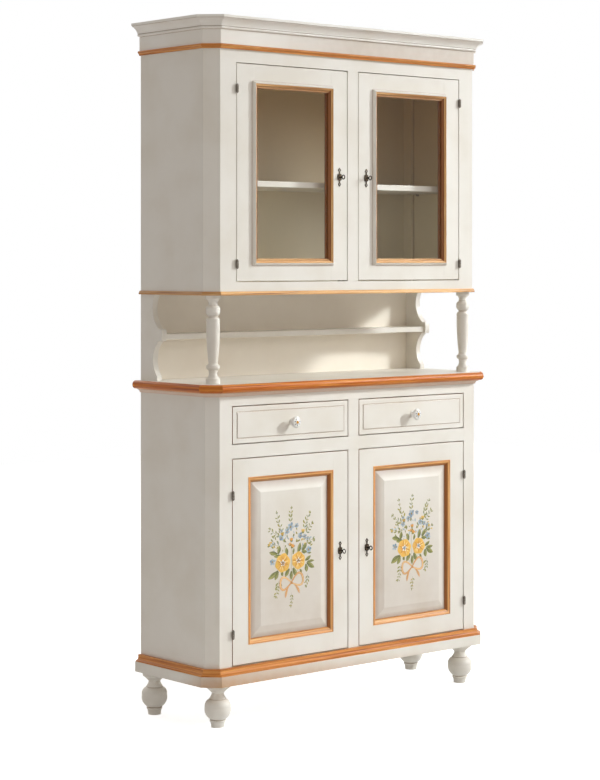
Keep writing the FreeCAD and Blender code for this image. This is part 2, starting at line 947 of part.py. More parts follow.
def panel_moulding(door):
    """The wooden sticking that slopes down to the panel, and the stops behind the panel."""
    low = -sticking_depth
    sticking = [
        (0, low), (0, sticking_proud), (-sticking_lip, sticking_proud, -sticking_lip_hollow),
        (-sticking_width, low + sticking_edge_height, sticking_swell), (-sticking_width, low),
    ]
    return around_opening(door, sticking) + rear_stops(door, sticking_depth + panel_thickness)


def raised_panel(door):
    """A panel held behind the sticking, with a bevel that rises to a flat field."""
    seat = door.face + sticking_depth
    plate = door.opening_box(glass_clearance, seat, seat + panel_thickness)
    rims = []
    for inset, y in ((sticking_width, seat), (sticking_width + panel_bevel, door.face + panel_field_depth)):
        corners = [
            (door.open_x0 + inset, door.open_z0 + inset), (door.open_x1 - inset, door.open_z0 + inset),
            (door.open_x1 - inset, door.open_z1 - inset), (door.open_x0 + inset, door.open_z1 - inset),
        ]
        rims.append(Part.makePolygon([Vector(x, y, z) for x, z in corners + corners[:1]]))
    return [plate.fuse(Part.makeLoft(rims, True, True))]


def keyhole_plate(door):
    """A pierced plate on the face of the door: a pointed oval with small leaves, and two lozenges."""
    half = plate_height / 2
    tip = half - plate_tip_height / 2
    bar = plate_bar_width
    wide = plate_tip_width / 2
    arc = (plate_eye_width ** 2 + plate_eye_height ** 2) / (4 * plate_eye_width)
    shift = arc - plate_eye_width / 2
    near, far = [Part.makeCylinder(arc, plate_thickness, Vector(x, 0, 0)) for x in (-shift, shift)]
    pieces = [Part.makeBox(bar, 2 * tip, plate_thickness, Vector(-bar / 2, -tip, 0))]
    for side in (-1, 1):
        for wing in (-1, 1):
            place = Vector(wing * plate_leaf_from_middle, side * plate_leaf_from_key, 0)
            pieces.append(Part.makeCylinder(plate_leaf_radius, plate_thickness, place))
        lozenge = [
            (0, side * (half - plate_tip_height)), (wide, side * tip), (0, side * half), (-wide, side * tip),
        ]
        pieces.append(prism(lozenge, 0, plate_thickness))
    plate = near.common(far).multiFuse(pieces).removeSplitter()
    for side in (-1, 1):
        plate = plate.cut(Part.makeCylinder(plate_piercing, plate_thickness, Vector(0, side * tip, 0)))
    return moved(to_front(plate, door.face), door.key_x, 0, door.key_z).cut(keyhole(door))


def lock(door):
    """The hollow lock case let into the door's edge, and the keyhole plate on the face."""
    case = lock_box(door).cut(lock_box(door, lock_wall)).cut(keyhole(door))
    slot = bolt_box(door, slide_clearance)
    return [case.cut(slot), keyhole_plate(door)]


def bolt_box(door, spare=0.0):
    middle = door.face + door_thickness / 2
    low = door.key_z + bolt_above_key
    return box(
        door.x0, door.x0 + bolt_length + spare,
        middle - bolt_thickness / 2 - spare, middle + bolt_thickness / 2 + spare,
        low - spare, low + bolt_height + spare,
    )


def bolt(door):
    return [bolt_box(door)]


def key(door):
    """A key with a ring for a bow and a bit that turns inside the lock case."""
    middle = door.face + door_thickness / 2
    bow_y = door.face - key_reach + key_bow_radius + key_bow_wire
    start = bow_y + key_bow_radius
    end = middle + key_bit_width / 2
    inward = Vector(0, 1, 0)
    bow_centre = Vector(door.key_x, bow_y, door.key_z)
    ring = Part.makeTorus(key_bow_radius, key_bow_wire, bow_centre, Vector(1, 0, 0))
    shank = Part.makeCylinder(key_radius, end - start, Vector(door.key_x, start, door.key_z), inward)
    collar_place = Vector(door.key_x, start + key_collar_from_bow, door.key_z)
    collar = Part.makeCylinder(key_collar_radius, key_collar_length, collar_place, inward)
    side = key_bit_thickness / 2
    bit = box(
        door.key_x - side, door.key_x + side, end - key_bit_width, end,
        door.key_z - key_bit_reach, door.key_z,
    )
    return [ring.multiFuse([shank, collar, bit])]


# Hinges: three knuckles on one pin, with thin leaves in the gap beside the door

def knuckle_spans():
    third = hinge_height / 3
    low = -hinge_height / 2
    return [
        (low, low + third), (low + third + knuckle_gap, low + 2 * third - knuckle_gap),
        (low + 2 * third, low + hinge_height),
    ]


def hinge_half(door, level, spans, side, bore):
    """A leaf with its knuckles. Side 1 lies on the post, side -1 on the door's edge."""
    thickness = (door_gap - knuckle_gap) / 2
    inner = door.hinge_x + side * knuckle_gap / 2
    outer = inner + side * thickness
    x0, x1 = sorted((inner, outer))
    plate_start = door.face - knuckle_gap
    low = level - hinge_height / 2
    pieces = [box(x0, x1, plate_start, door.face + hinge_leaf_length, low, low + hinge_height)]
    for z0, z1 in spans:
        place = Vector(door.hinge_x, door.hinge_y, level + z0)
        pieces.append(Part.makeCylinder(knuckle_radius, z1 - z0, place))
        pieces.append(box(x0, x1, door.hinge_y, plate_start, level + z0, level + z1))
    shape = pieces[0].multiFuse(pieces[1:])
    hole = Part.makeCylinder(bore, hinge_height, Vector(door.hinge_x, door.hinge_y, low))
    return shape.cut(hole)


def door_hinges(door):
    middle = knuckle_spans()[1:2]
    bore = hinge_pin_radius + pin_clearance
    return [hinge_half(door, level, middle, -1, bore) for level in door.hinge_levels]


def hinge_pin(door, level):
    half = hinge_height / 2
    tip = hinge_tip_radius
    stations = [
        (tip, -half - hinge_tip), (tip, -half), (hinge_pin_radius, -half), (hinge_pin_radius, half),
        (tip, half), (tip, half + hinge_tip),
    ]
    return moved(turned(stations), door.hinge_x, door.hinge_y, level)


def hinge_leaves():
    """The leaves screwed to the posts, and the pins they hold."""
    ends = knuckle_spans()[::2]
    pieces = []
    for door in (hutch_door, base_door):
        for level in door.hinge_levels:
            pieces.append(hinge_half(door, level, ends, 1, hinge_pin_radius))
            pieces.append(hinge_pin(door, level))
    return both_sides(pieces)


# Drawers

drawer_x0 = centre_edge + door_gap
drawer_x1 = base_edge - door_gap
drawer_z0 = z_drawer + door_gap
drawer_z1 = z_top_rail - door_gap
drawer_rear = base_front + frame_thickness
drawer_end = back_face - drawer_back_space
knob_x = (drawer_x0 + drawer_x1) / 2
knob_z = (drawer_z0 + drawer_z1) / 2
knob_face = base_front - drawer_field_rise


def drawer_front():
    """A thick front with a groove round a slightly raised field."""
    slab = eased_front(box(drawer_x0, drawer_x1, base_front, drawer_rear, drawer_z0, drawer_z1), eased_edge)
    field_inset = drawer_border + drawer_groove_width
    field = box(
        drawer_x0 + field_inset, drawer_x1 - field_inset, knob_face, drawer_rear,
        drawer_z0 + field_inset, drawer_z1 - field_inset,
    )
    front = slab.fuse(eased_front(field, drawer_field_round)).removeSplitter()
    corners = [
        (drawer_x0 + drawer_border, drawer_z0 + drawer_border),
        (drawer_x1 - drawer_border, drawer_z0 + drawer_border),
        (drawer_x1 - drawer_border, drawer_z1 - drawer_border),
        (drawer_x0 + drawer_border, drawer_z1 - drawer_border),
    ]
    width = drawer_groove_width
    groove = [(0, 0), (-width / 2, -width / 2), (-width, 0)]
    for length in mitred_run(corners, groove, 0.0, True, 0.0):
        front = front.cut(to_front(length, base_front))
    depth = knob_spigot_length + dowel_clearance
    radius = knob_spigot_radius + dowel_clearance
    hole = Part.makeCylinder(radius, depth, Vector(knob_x, knob_face, knob_z), Vector(0, 1, 0))
    return [front.cut(hole)]


def drawer_box():
    """Two grooved sides, a back and a thin bottom."""
    low = z_drawer + slide_clearance
    high = low + drawer_side_height
    floor = low + drawer_bottom_rise
    ceiling = floor + drawer_bottom_thickness
    inner0 = drawer_x0 + drawer_side_thickness
    inner1 = drawer_x1 - drawer_side_thickness
    rear = drawer_end - drawer_side_thickness
    bottom = box(
        inner0 - drawer_groove_depth, inner1 + drawer_groove_depth, drawer_rear, drawer_end, floor, ceiling
    )
    left = box(drawer_x0, inner0, drawer_rear, drawer_end, low, high).cut(bottom)
    right = box(inner1, drawer_x1, drawer_rear, drawer_end, low, high).cut(bottom)
    end = box(inner0, inner1, rear, drawer_end, ceiling, high)
    return [left, right, end, bottom]


def drawer_knob():
    """A round glazed knob on a short neck, with a spigot into the drawer front."""
    rim = knob_projection - knob_rim_below_top
    stations = [
        (knob_spigot_radius, -knob_spigot_length), (knob_spigot_radius, 0), (knob_foot_radius, 0),
        (knob_foot_radius, knob_foot_height, knob_foot_swell),
        (knob_neck_radius, knob_neck_height, -knob_neck_hollow),
        (knob_neck_radius, knob_neck_height + knob_neck_length), (knob_radius, rim, -knob_cup_hollow),
        (knob_radius, rim + knob_rim_height, knob_rim_swell),
        (knob_dome_radius, knob_projection - knob_dome_rise, knob_shoulder_swell),
        (0, knob_projection, dome_bow(knob_dome_radius, knob_dome_rise)),
    ]
    return [moved(to_front(turned(stations), knob_face), knob_x, 0, knob_z)]


# Every node by name

nodes = {
    "base_sides": base_sides(),
    "base_posts": base_posts(),
    "base_face_frame": base_face_frame(),
    "base_floor": base_floor(),
    "base_back": back_panel(z_base, z_counter),
    "base_shelf": base_shelf(),
    "drawer_runners": drawer_runners(),
    "plinth": plinth(),
    "plinth_moulding": plinth_moulding(),
    "feet": feet(),
    "counter_top": counter_top(),
    "counter_edge": counter_edge(),
    "niche_brackets": niche_brackets(),
    "niche_shelf": niche_shelf(),
    "columns": columns(),
    "hutch_sides": hutch_sides(),
    "hutch_posts": hutch_posts(),
    "hutch_face_frame": hutch_face_frame(),
    "hutch_boards": hutch_boards(),
    "hutch_back": back_panel(z_niche, z_frieze),
    "hutch_shelf": hutch_shelf(),
    "shelf_pins": shelf_pins(),
    "hutch_moulding": hutch_moulding(),
    "frieze_bead": frieze_bead(),
    "cornice": cornice(),
    "hinge_leaves": hinge_leaves(),
}

pairs = {
    "hutch_door_{}_frame": glazed_frame(hutch_door),
    "hutch_door_{}_glazing": glazing(hutch_door),
    "hutch_door_{}_glass": glass(hutch_door),
    "base_door_{}_frame": door_frame(base_door),
    "base_door_{}_moulding": panel_moulding(base_door),
    "base_door_{}_panel": raised_panel(base_door),
    "drawer_{}_front": drawer_front(),
    "drawer_{}_box": drawer_box(),
    "drawer_{}_knob": drawer_knob(),
}
for family, door in (("hutch_door_{}_", hutch_door), ("base_door_{}_", base_door)):
    pairs[family + "lock"] = lock(door)
    pairs[family + "bolt"] = bolt(door)
    pairs[family + "key"] = key(door)
    pairs[family + "hinges"] = door_hinges(door)

for name, shapes in pairs.items():
    nodes[name.format("right")] = shapes
    nodes[name.format("left")] = [mirrored(shape) for shape in shapes]

os.makedirs("parts", exist_ok=True)
for name, shapes in nodes.items():
    Part.makeCompound(shapes).exportStep("parts/" + name + ".step")

print(len(nodes), "nodes,", sum(len(shapes) for shapes in nodes.values()), "solids, height", z_top)
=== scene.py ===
# %% [markdown]
# # A painted country dresser
# The dresser stands in two parts: a base with drawers over panelled doors, and a glazed hutch that is
# carried on turned columns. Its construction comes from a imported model, which stays exactly as it is.
# This lesson gives each surface its finish: ivory paint with a brown glaze in its corners, honey-
# stained mouldings, clear panes, dark ironwork and porcelain knobs. It also paints a posy on each lower
# door.

# %% Load the frame
import json
import math
import random

import bmesh
import bpy
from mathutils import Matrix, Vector


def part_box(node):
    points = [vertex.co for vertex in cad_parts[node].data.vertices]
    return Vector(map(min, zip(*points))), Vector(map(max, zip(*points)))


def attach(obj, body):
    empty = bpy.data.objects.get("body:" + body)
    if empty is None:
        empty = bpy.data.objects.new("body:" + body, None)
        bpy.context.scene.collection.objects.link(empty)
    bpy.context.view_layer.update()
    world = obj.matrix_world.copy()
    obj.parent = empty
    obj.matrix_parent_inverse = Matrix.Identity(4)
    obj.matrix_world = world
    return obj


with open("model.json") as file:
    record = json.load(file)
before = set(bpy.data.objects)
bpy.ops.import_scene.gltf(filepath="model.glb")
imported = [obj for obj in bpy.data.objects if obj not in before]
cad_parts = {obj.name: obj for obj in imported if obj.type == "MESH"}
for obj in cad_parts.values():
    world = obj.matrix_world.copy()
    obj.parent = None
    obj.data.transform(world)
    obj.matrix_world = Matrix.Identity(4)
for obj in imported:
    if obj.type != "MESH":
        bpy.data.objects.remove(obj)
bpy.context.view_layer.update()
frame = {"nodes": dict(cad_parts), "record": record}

nodes = frame["nodes"]

# %% [markdown]
# ## The camera
# The photograph was taken with a level camera whose lens was shifted down, as is usual for furniture,
# so upright edges stay upright in the picture. Tilting the camera would make them lean together. So the
# camera is level here too, and the shift moves the picture down over the dresser.

# %% Camera
photo_width = 600
photo_height = 780
horizon_row = 260.17
focal_length_in_pixels = 2100.3
camera_place = Vector((-4.3817, -4.980, 1.3806))
camera_turn = 0.712
sensor = 36.0

camera = bpy.data.objects.new("camera", bpy.data.cameras.new("camera"))
camera.data.sensor_width = sensor
camera.data.lens = sensor * focal_length_in_pixels / max(photo_width, photo_height)
camera.data.shift_y = (horizon_row - photo_height / 2) / photo_height
camera.location = camera_place
camera.rotation_euler = (math.pi / 2, 0, -camera_turn)
bpy.context.scene.collection.objects.link(camera)
bpy.context.scene.camera = camera
print("camera: lens", round(camera.data.lens, 2), "shift", round(camera.data.shift_y, 4))

# %% [markdown]
# ## Wiring for the finishes
# Every finish is a net of shader nodes. Clicking them together by hand is slow to change, so a small
# helper places a node, sets it and links it in one line. An input takes either another node's socket or
# a plain value. Colours are given as screen values from 0 to 255 and turned into the linear values that
# a renderer works with.

# %% Helpers for nodes
def colour(red, green, blue):
    """A linear colour from its screen values."""
    def linear(part):
        share = part / 255
        if share <= 0.04045:
            return share / 12.92
        return ((share + 0.055) / 1.055) ** 2.4
    return (linear(red), linear(green), linear(blue), 1.0)


class Wiring:
    """Places nodes in one tree and links them."""

    def __init__(self, tree):
        self.tree = tree

    def feed(self, socket, value):
        """Links another node's socket, or sets a plain value."""
        if isinstance(value, bpy.types.NodeSocket):
            self.tree.links.new(value, socket)
        else:
            socket.default_value = value

    def put(self, kind, inputs=None, **settings):
        """Places a node. Its inputs are given by name or number."""
        node = self.tree.nodes.new("ShaderNode" + kind)
        for name, setting in settings.items():
            setattr(node, name, setting)
        for name, value in (inputs or {}).items():
            self.feed(node.inputs[name], value)
        return node

    def group(self, tree, **inputs):
        """A node group. Its inputs are given by their names in small letters."""
        node = self.put("Group", node_tree=tree)
        for name, value in inputs.items():
            self.feed(node.inputs[name.replace("_", " ").title()], value)
        return node.outputs

    def math(self, operation, *values, **settings):
        return self.put("Math", dict(enumerate(values)), operation=operation, **settings).outputs[0]

    def chain(self, operation, first, *others):
        """One operation over several values, from the first to the last."""
        for other in others:
            first = self.math(operation, first, other)
        return first

    def times(self, *values):
        return self.chain("MULTIPLY", *values)

    def choose(self, switch, off, on):
        """One value where the switch is 0 and another where it is 1."""
        return self.math("MULTIPLY_ADD", switch, self.math("SUBTRACT", on, off), off)

    def vector(self, operation, *values):
        return self.put("VectorMath", dict(enumerate(values)), operation=operation).outputs[0]

    def dot(self, first, second):
        return self.put("VectorMath", {0: first, 1: second}, operation="DOT_PRODUCT").outputs["Value"]

    def fade(self, value, low, high):
        """From 0 at low to 1 at high, with soft ends."""
        inputs = {"Value": value, "From Min": low, "From Max": high}
        return self.put("MapRange", inputs, interpolation_type="SMOOTHSTEP").outputs[0]

    def mix(self, share, first, second):
        node = self.put("Mix", data_type="RGBA")
        self.feed(node.inputs[0], share)
        self.feed(node.inputs[6], first)
        self.feed(node.inputs[7], second)
        return node.outputs[2]

    def noise(self, place, scale, detail=2.0, distortion=0.0):
        inputs = {"Vector": place, "Scale": scale, "Detail": detail, "Distortion": distortion}
        return self.put("TexNoise", inputs).outputs[0]

    def place(self):
        return self.put("TexCoord").outputs["Object"]

    def axes(self):
        return self.put("SeparateXYZ", {0: self.place()}).outputs

    def point(self, x, y, z):
        return self.put("CombineXYZ", {0: x, 1: y, 2: z}).outputs[0]

    def coat(self, shader, tone, roughness):
        """Gives a shader its colour and its roughness."""
        self.feed(shader.inputs["Base Color"], tone)
        self.feed(shader.inputs["Roughness"], roughness)

    def relief(self, shader, strength, distance, **inputs):
        """Gives a shader a bump from a height, and a normal under it if there is one."""
        bump = self.put("Bump", {"Strength": strength, "Distance": distance})
        for name, value in inputs.items():
            self.feed(bump.inputs[name.title()], value)
        self.feed(shader.inputs["Normal"], bump.outputs["Normal"])


def node_group(name, takes, gives):
    """A shader node group with named sockets: its tree, its wiring, its inputs and its outputs."""
    tree = bpy.data.node_groups.new(name, "ShaderNodeTree")
    for title, kind, value in takes:
        socket = tree.interface.new_socket(title, in_out="INPUT", socket_type="NodeSocket" + kind)
        socket.default_value = value
    for title, kind in gives:
        tree.interface.new_socket(title, in_out="OUTPUT", socket_type="NodeSocket" + kind)
    start = tree.nodes.new("NodeGroupInput")
    end = tree.nodes.new("NodeGroupOutput")
    return tree, Wiring(tree), start.outputs, end.inputs


def new_finish(name):
    """A material with its shader, ready to be wired."""
    material = bpy.data.materials.new(name)
    material.use_nodes = True
    return material, Wiring(material.node_tree), material.node_tree.nodes["Principled BSDF"]


def dress(material, *names):
    """Gives CAD nodes their finish."""
    for name in names:
        slots = nodes[name].data.materials
        slots.clear()
        slots.append(material)


slot_of = {part["node"]: part["material_slot"] for part in frame["record"]["subparts"]}


def nodes_in(slot):
    return [name for name in slot_of if slot_of[name] == slot]


print("slots:", sorted(set(slot_of.values())))

# %% [markdown]
# ## The stage
# The dresser stands in a white studio. A white picture should not come from more light on the dresser,
# because its pale paint would burn out. So the world and the floor are white for the rays that see them
# straight, mirrored or through a pane, and light the dresser at a plain, slightly warm level otherwise.
# The floor keeps the soft shadow round the feet.

# %% Floor and world
ambience = 0.41
ambience_colour = (1.0, 0.935, 0.885, 1.0)
white = (1.0, 1.0, 1.0, 1.0)
floor_size = 14.0
floor_grey = (0.8, 0.8, 0.8, 1.0)
floor_roughness = 0.9
floor_lift = 0.72


def seen_ray(wiring):
    """1 for rays that show the background: straight, mirrored or through glass."""
    rays = wiring.put("LightPath").outputs
    kinds = ("Is Camera Ray", "Is Glossy Ray", "Is Transmission Ray")
    return wiring.chain("MAXIMUM", *[rays[kind] for kind in kinds])


def white_world():
    world = bpy.data.worlds.new("studio")
    world.use_nodes = True
    wiring = Wiring(world.node_tree)
    background = world.node_tree.nodes["Background"]
    seen = seen_ray(wiring)
    wiring.feed(background.inputs["Color"], wiring.mix(seen, ambience_colour, white))
    wiring.feed(background.inputs["Strength"], wiring.math("MULTIPLY_ADD", seen, 1 - ambience, ambience))
    return world


def studio_floor():
    mesh = bpy.data.meshes.new("floor")
    shape = bmesh.new()
    bmesh.ops.create_grid(shape, x_segments=1, y_segments=1, size=floor_size / 2)
    shape.to_mesh(mesh)
    shape.free()
    floor = bpy.data.objects.new("floor", mesh)
    bpy.context.scene.collection.objects.link(floor)
    material, wiring, shader = new_finish("studio_floor")
    wiring.coat(shader, floor_grey, floor_roughness)
    wiring.feed(shader.inputs["Emission Color"], white)
    lift = wiring.times(seen_ray(wiring), floor_lift)
    wiring.feed(shader.inputs["Emission Strength"], lift)
    mesh.materials.append(material)


bpy.context.scene.world = white_world()
studio_floor()
bpy.context.scene.view_settings.view_transform = "Standard"
print("stage ready, ambience", ambience)

# %% [markdown]
# ## The light
# The knobs and the raised beads throw soft shadows to the left and a little down, so the main lamp
# stands far to the right, in front and above. It is a softbox with a grid, which narrows its beam: the
# light is fullest at the right of the hutch and falls off towards the cornice and the left. More of it
# would burn out the right-hand side, so a wide, weak lamp in front helps and reaches through the panes.
# One behind keeps the back boards out of the dark. The rest of the light comes from the white room.

# %% Lamps
def softbox(name, target, azimuth, height, distance, size, spread, power, tint):
    """A square lamp that looks at a target, placed by two angles in degrees and a distance."""
    turn, rise = math.radians(azimuth), math.radians(height)
    way = Vector((math.sin(turn) * math.cos(rise), -math.cos(turn) * math.cos(rise), math.sin(rise)))
    lamp = bpy.data.objects.new(name, bpy.data.lights.new(name, "AREA"))
    lamp.data.energy = power
    lamp.data.size = size
    lamp.data.spread = math.radians(spread)
    lamp.data.color = tint
    lamp.location = Vector(target) + way * distance
    lamp.rotation_euler = way.to_track_quat("Z", "Y").to_euler()
    bpy.context.scene.collection.objects.link(lamp)
    print(name, "at", [round(part, 2) for part in lamp.location])


softbox("main_lamp", target=(0.2, -0.16, 0.95), azimuth=60, height=24, distance=10.0, size=1.1,
        spread=27.5, power=22.5, tint=(0.92, 0.98, 1.02))
softbox("front_lamp", target=(0.0, -0.16, 1.2), azimuth=16, height=26, distance=6.0, size=3.0,
        spread=180, power=60.0, tint=(0.98, 0.98, 0.97))
softbox("back_lamp", target=(0.0, 0.19, 1.2), azimuth=180, height=30, distance=6.0, size=3.0,
        spread=180, power=60.0, tint=(1.0, 0.98, 0.95))

# %% [markdown]
# ## Ivory paint with an antique glaze
# The carcass is brushed with ivory paint. A thin brown glaze is then wiped over it, and stays in
# grooves and along edges. A painted texture could show this, but the frame has no picture maps. Instead
# the ambient occlusion of the piece itself finds its recesses, and a rounded normal that differs from
# the true one finds its edges. Slow noise breaks up the glaze on the edges, as a wiping cloth does.

# %% Aged paint
ivory = colour(236, 231, 221)
ivory_shade = colour(229, 222, 209)
brown_glaze = colour(146, 108, 72)
along_uprights = (260.0, 260.0, 26.0)
along_rails = (26.0, 260.0, 260.0)
cloud_scale = 6.0
patch_scale = 38.0
brush_strength = 0.12
brush_height = 0.0006


def aged_paint_group():
    tree, wiring, takes, gives = node_group("aged_paint", [
        ("Paint", "Color", ivory), ("Shade", "Color", ivory_shade), ("Glaze", "Color", brown_glaze),
        ("Edge", "Float", 0.0009), ("Recess", "Float", 0.005), ("Edge Share", "Float", 0.2),
        ("Recess Share", "Float", 0.7), ("Patina", "Float", 0.0), ("Brush", "Vector", along_uprights),
    ], [("Color", "Color"), ("Roughness", "Float"), ("Height", "Float"), ("Normal", "Vector")])
    place = wiring.place()
    cloud = wiring.noise(place, cloud_scale, 4.0)
    patch = wiring.noise(place, patch_scale, 3.0)
    rounded = wiring.put("Bevel", {"Radius": takes["Edge"]}, samples=4).outputs[0]
    straight = wiring.put("NewGeometry").outputs["Normal"]
    edge = wiring.fade(wiring.math("SUBTRACT", 1.0, wiring.dot(rounded, straight)), 0.02, 0.22)
    near = wiring.put("AmbientOcclusion", {"Distance": takes["Recess"]}, only_local=True, samples=8)
    recess = wiring.fade(wiring.math("SUBTRACT", 1.0, near.outputs["AO"]), 0.12, 0.6)
    wiped = wiring.fade(patch, 0.25, 0.6)
    edge_glaze = wiring.times(edge, wiped, takes["Edge Share"])
    recess_glaze = wiring.times(recess, takes["Recess Share"])
    # Extra glaze fed in from outside, and painted shade where a material feeds that in, mottled by the
    # patch noise.
    patina = wiring.times(takes["Patina"], wiring.math("MULTIPLY_ADD", patch, 0.4, 0.8))
    glaze = wiring.math("ADD", wiring.math("ADD", edge_glaze, recess_glaze), patina, use_clamp=True)
    paint = wiring.mix(wiring.fade(cloud, 0.35, 0.75), takes["Paint"], takes["Shade"])
    wiring.feed(gives["Color"], wiring.mix(glaze, paint, takes["Glaze"]))
    brushed = wiring.noise(wiring.vector("MULTIPLY", place, takes["Brush"]), 1.0, 3.0)
    wiring.feed(gives["Height"], brushed)
    wiring.feed(gives["Roughness"], wiring.math("MULTIPLY_ADD", brushed, 0.12, 0.36))
    wiring.feed(gives["Normal"], rounded)
    return tree


aged_paint = aged_paint_group()


def finish_paint(wiring, shader, **values):
    """Wires the aged paint into a shader. The values replace those of the group."""
    paint = wiring.group(aged_paint, **values)
    wiring.coat(shader, paint["Color"], paint["Roughness"])
    wiring.relief(shader, brush_strength, brush_height, height=paint["Height"], normal=paint["Normal"])


def painted(name, **values):
    material, wiring, shader = new_finish(name)
    finish_paint(wiring, shader, **values)
    return material


dress(painted("ivory_upright"), *nodes_in("cream_paint"))
dress(painted("ivory_lying", brush=along_rails), "base_floor", "base_shelf", "niche_shelf", "hutch_shelf")
dress(painted("ivory_turned", recess=0.009, recess_share=0.7, brush=along_rails), "feet", "columns")
print("painted", len(nodes_in("cream_paint")), "nodes")

# %% [markdown]
# ## Glaze and painted shade that gather
# On the sunk bevels of the panels and along the foot of the plinth the glaze was left thicker. The
# same fades also paint shade: the panels darken towards their feet, the plinth towards its left end,
# and the cove under the counter edge and the frieze under the crown darken where shade falls. Each grows
# along one direction, so one small group measures a point along that direction and fades between two
# planes. This is simpler than marking the faces, which the frame keeps as they are. Where two directions
# matter, as on the frieze, two such fades are joined.

# %% Thicker glaze
def gathered_group():
    tree, wiring, takes, gives = node_group("gathered_glaze_and_shade", [
        ("Direction", "Vector", (0.0, 0.0, 1.0)), ("Thin", "Float", 0.0), ("Thick", "Float", 1.0),
        ("Share", "Float", 0.5), ("End", "Float", 10.0),
    ], [("Patina", "Float")])
    level = wiring.dot(wiring.place(), takes["Direction"])
    grown = wiring.fade(level, takes["Thin"], takes["Thick"])
    kept = wiring.math("LESS_THAN", level, takes["End"])
    wiring.feed(gives["Patina"], wiring.times(grown, kept, takes["Share"]))
    return tree


gathered = gathered_group()
bevel_reach = 0.0085
cove_bottom = 0.010
cove_top = 0.0125
frieze_height = 0.058
plinth_glaze_and_shade = colour(190, 140, 88)
cove_painted_shade_colour = colour(204, 146, 96)
# The frieze colour is painted shadow of the crown on the frieze, and also the glaze in the crown's
# recesses. The crown paint is lighter than the ivory, as painted light.
frieze_shadow_and_glaze = colour(168, 140, 112)
crown_lit_paint = colour(245, 241, 233)
crown_lit_tone = colour(239, 233, 222)


def paint_with_glaze_and_shade(name, brush, span, second=None, joined="MULTIPLY", **values):
    """Aged paint with extra glaze and painted shade that gather over a span, and over a second one that
    is joined to it.
    """
    material, wiring, shader = new_finish(name)
    patina = wiring.group(gathered, **span)["Patina"]
    if second:
        patina = wiring.math(joined, patina, wiring.group(gathered, **second)["Patina"])
    finish_paint(wiring, shader, patina=patina, brush=brush, **values)
    return material


panel_low, panel_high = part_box("base_door_left_panel")
bevel = {"direction": (0.0, 1.0, 0.0), "thin": panel_low.y, "thick": panel_low.y + bevel_reach,
         "share": 0.47, "end": panel_low.y + bevel_reach * 1.1}
# Painted shade: each panel field darkens towards its foot.
panel_shade_downwards = {"thin": panel_high.z + 0.1, "thick": panel_low.z, "share": 0.24}
dress(paint_with_glaze_and_shade("ivory_panel", along_uprights, bevel, panel_shade_downwards, "MAXIMUM"),
      "base_door_left_panel", "base_door_right_panel")
# Glaze at the foot of the plinth, and painted shade that darkens it towards its left end.
plinth_glaze_and_shade_span = {"direction": (-1.0, -6.0, -13.0), "thin": -1.2, "thick": 0.0, "share": 0.8}
dress(paint_with_glaze_and_shade("ivory_plinth", along_rails, plinth_glaze_and_shade_span, glaze=plinth_glaze_and_shade), "plinth")
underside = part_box("counter_top")[0].z
# Painted shade in the cove under the counter edge, in a warm brown.
cove = {"thin": underside + cove_top, "thick": underside + cove_bottom, "share": 0.5}
dress(paint_with_glaze_and_shade("ivory_counter", along_rails, cove, glaze=cove_painted_shade_colour), "counter_top")
frieze_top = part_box("cornice")[0].z + frieze_height
# Painted shadow of the crown on the frieze, growing towards the right.
below_crown = {"thin": frieze_top + 0.001, "thick": frieze_top - 0.004, "share": 1.0}
frieze_shadow_rightwards = {"direction": (1.0, 0.0, 0.0), "thin": -0.5, "thick": 0.05, "share": 0.45}
crown = {"paint": crown_lit_paint, "shade": crown_lit_tone, "glaze": frieze_shadow_and_glaze,
         "edge_share": 0.0, "recess": 0.004, "recess_share": 0.8}
dress(paint_with_glaze_and_shade("ivory_cornice", along_rails, below_crown, frieze_shadow_rightwards, **crown), "cornice")
print("glaze gathers under", round(frieze_top, 3), "m, cove from", round(underside, 3), "m")

# %% [markdown]
# The front edges of doors and drawers get a brown line round each of them: partly glaze caught on
# the edge, and partly painted shade for the dark gap beside it. A point lies on such an edge where it
# reaches the outline of its door, not far behind its face.

# %% Door edges
edge_glaze_and_gap_shade = colour(150, 90, 40)
line_width = 0.0008
line_core = 0.0002
line_depth = 0.007
line_full_depth = 0.004
outline_inputs = [
    ("Middle X", "Float", 0.0), ("Middle Z", "Float", 0.0),
    ("Half Width", "Float", 0.1), ("Half Height", "Float", 0.1),
]


def past_outline(wiring, axes, takes):
    """How far a point lies from a node's middle, sideways and upwards, and how far past its outline."""
    from_middle = wiring.math("SUBTRACT", axes["X"], takes["Middle X"])
    from_level = wiring.math("SUBTRACT", axes["Z"], takes["Middle Z"])
    past_side = wiring.math("SUBTRACT", wiring.math("ABSOLUTE", from_middle), takes["Half Width"])
    past_end = wiring.math("SUBTRACT", wiring.math("ABSOLUTE", from_level), takes["Half Height"])
    return from_middle, from_level, past_side, past_end


def outline_group():
    tree, wiring, takes, gives = node_group("door_outline", outline_inputs + [
        ("Front", "Float", 0.0), ("Share", "Float", 0.9),
    ], [("Patina", "Float")])
    axes = wiring.axes()
    past = wiring.math("MAXIMUM", *past_outline(wiring, axes, takes)[2:])
    edge = wiring.fade(past, -line_width, -line_core)
    behind = wiring.math("SUBTRACT", axes["Y"], takes["Front"])
    near = wiring.fade(behind, line_depth, line_full_depth)
    # A brown line: glaze on the edge, and painted shade for the gap beside it.
    wiring.feed(gives["Patina"], wiring.times(edge, takes["Share"], near))
    return tree


outline = outline_group()


def middle_and_half(name):
    """Where a node lies on the front: its middle and half its size, as the outline groups take them."""
    low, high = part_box(name)
    middle = (low + high) / 2
    half = (high - low) / 2
    return {"middle_x": middle.x, "middle_z": middle.z, "half_width": half.x, "half_height": half.z}


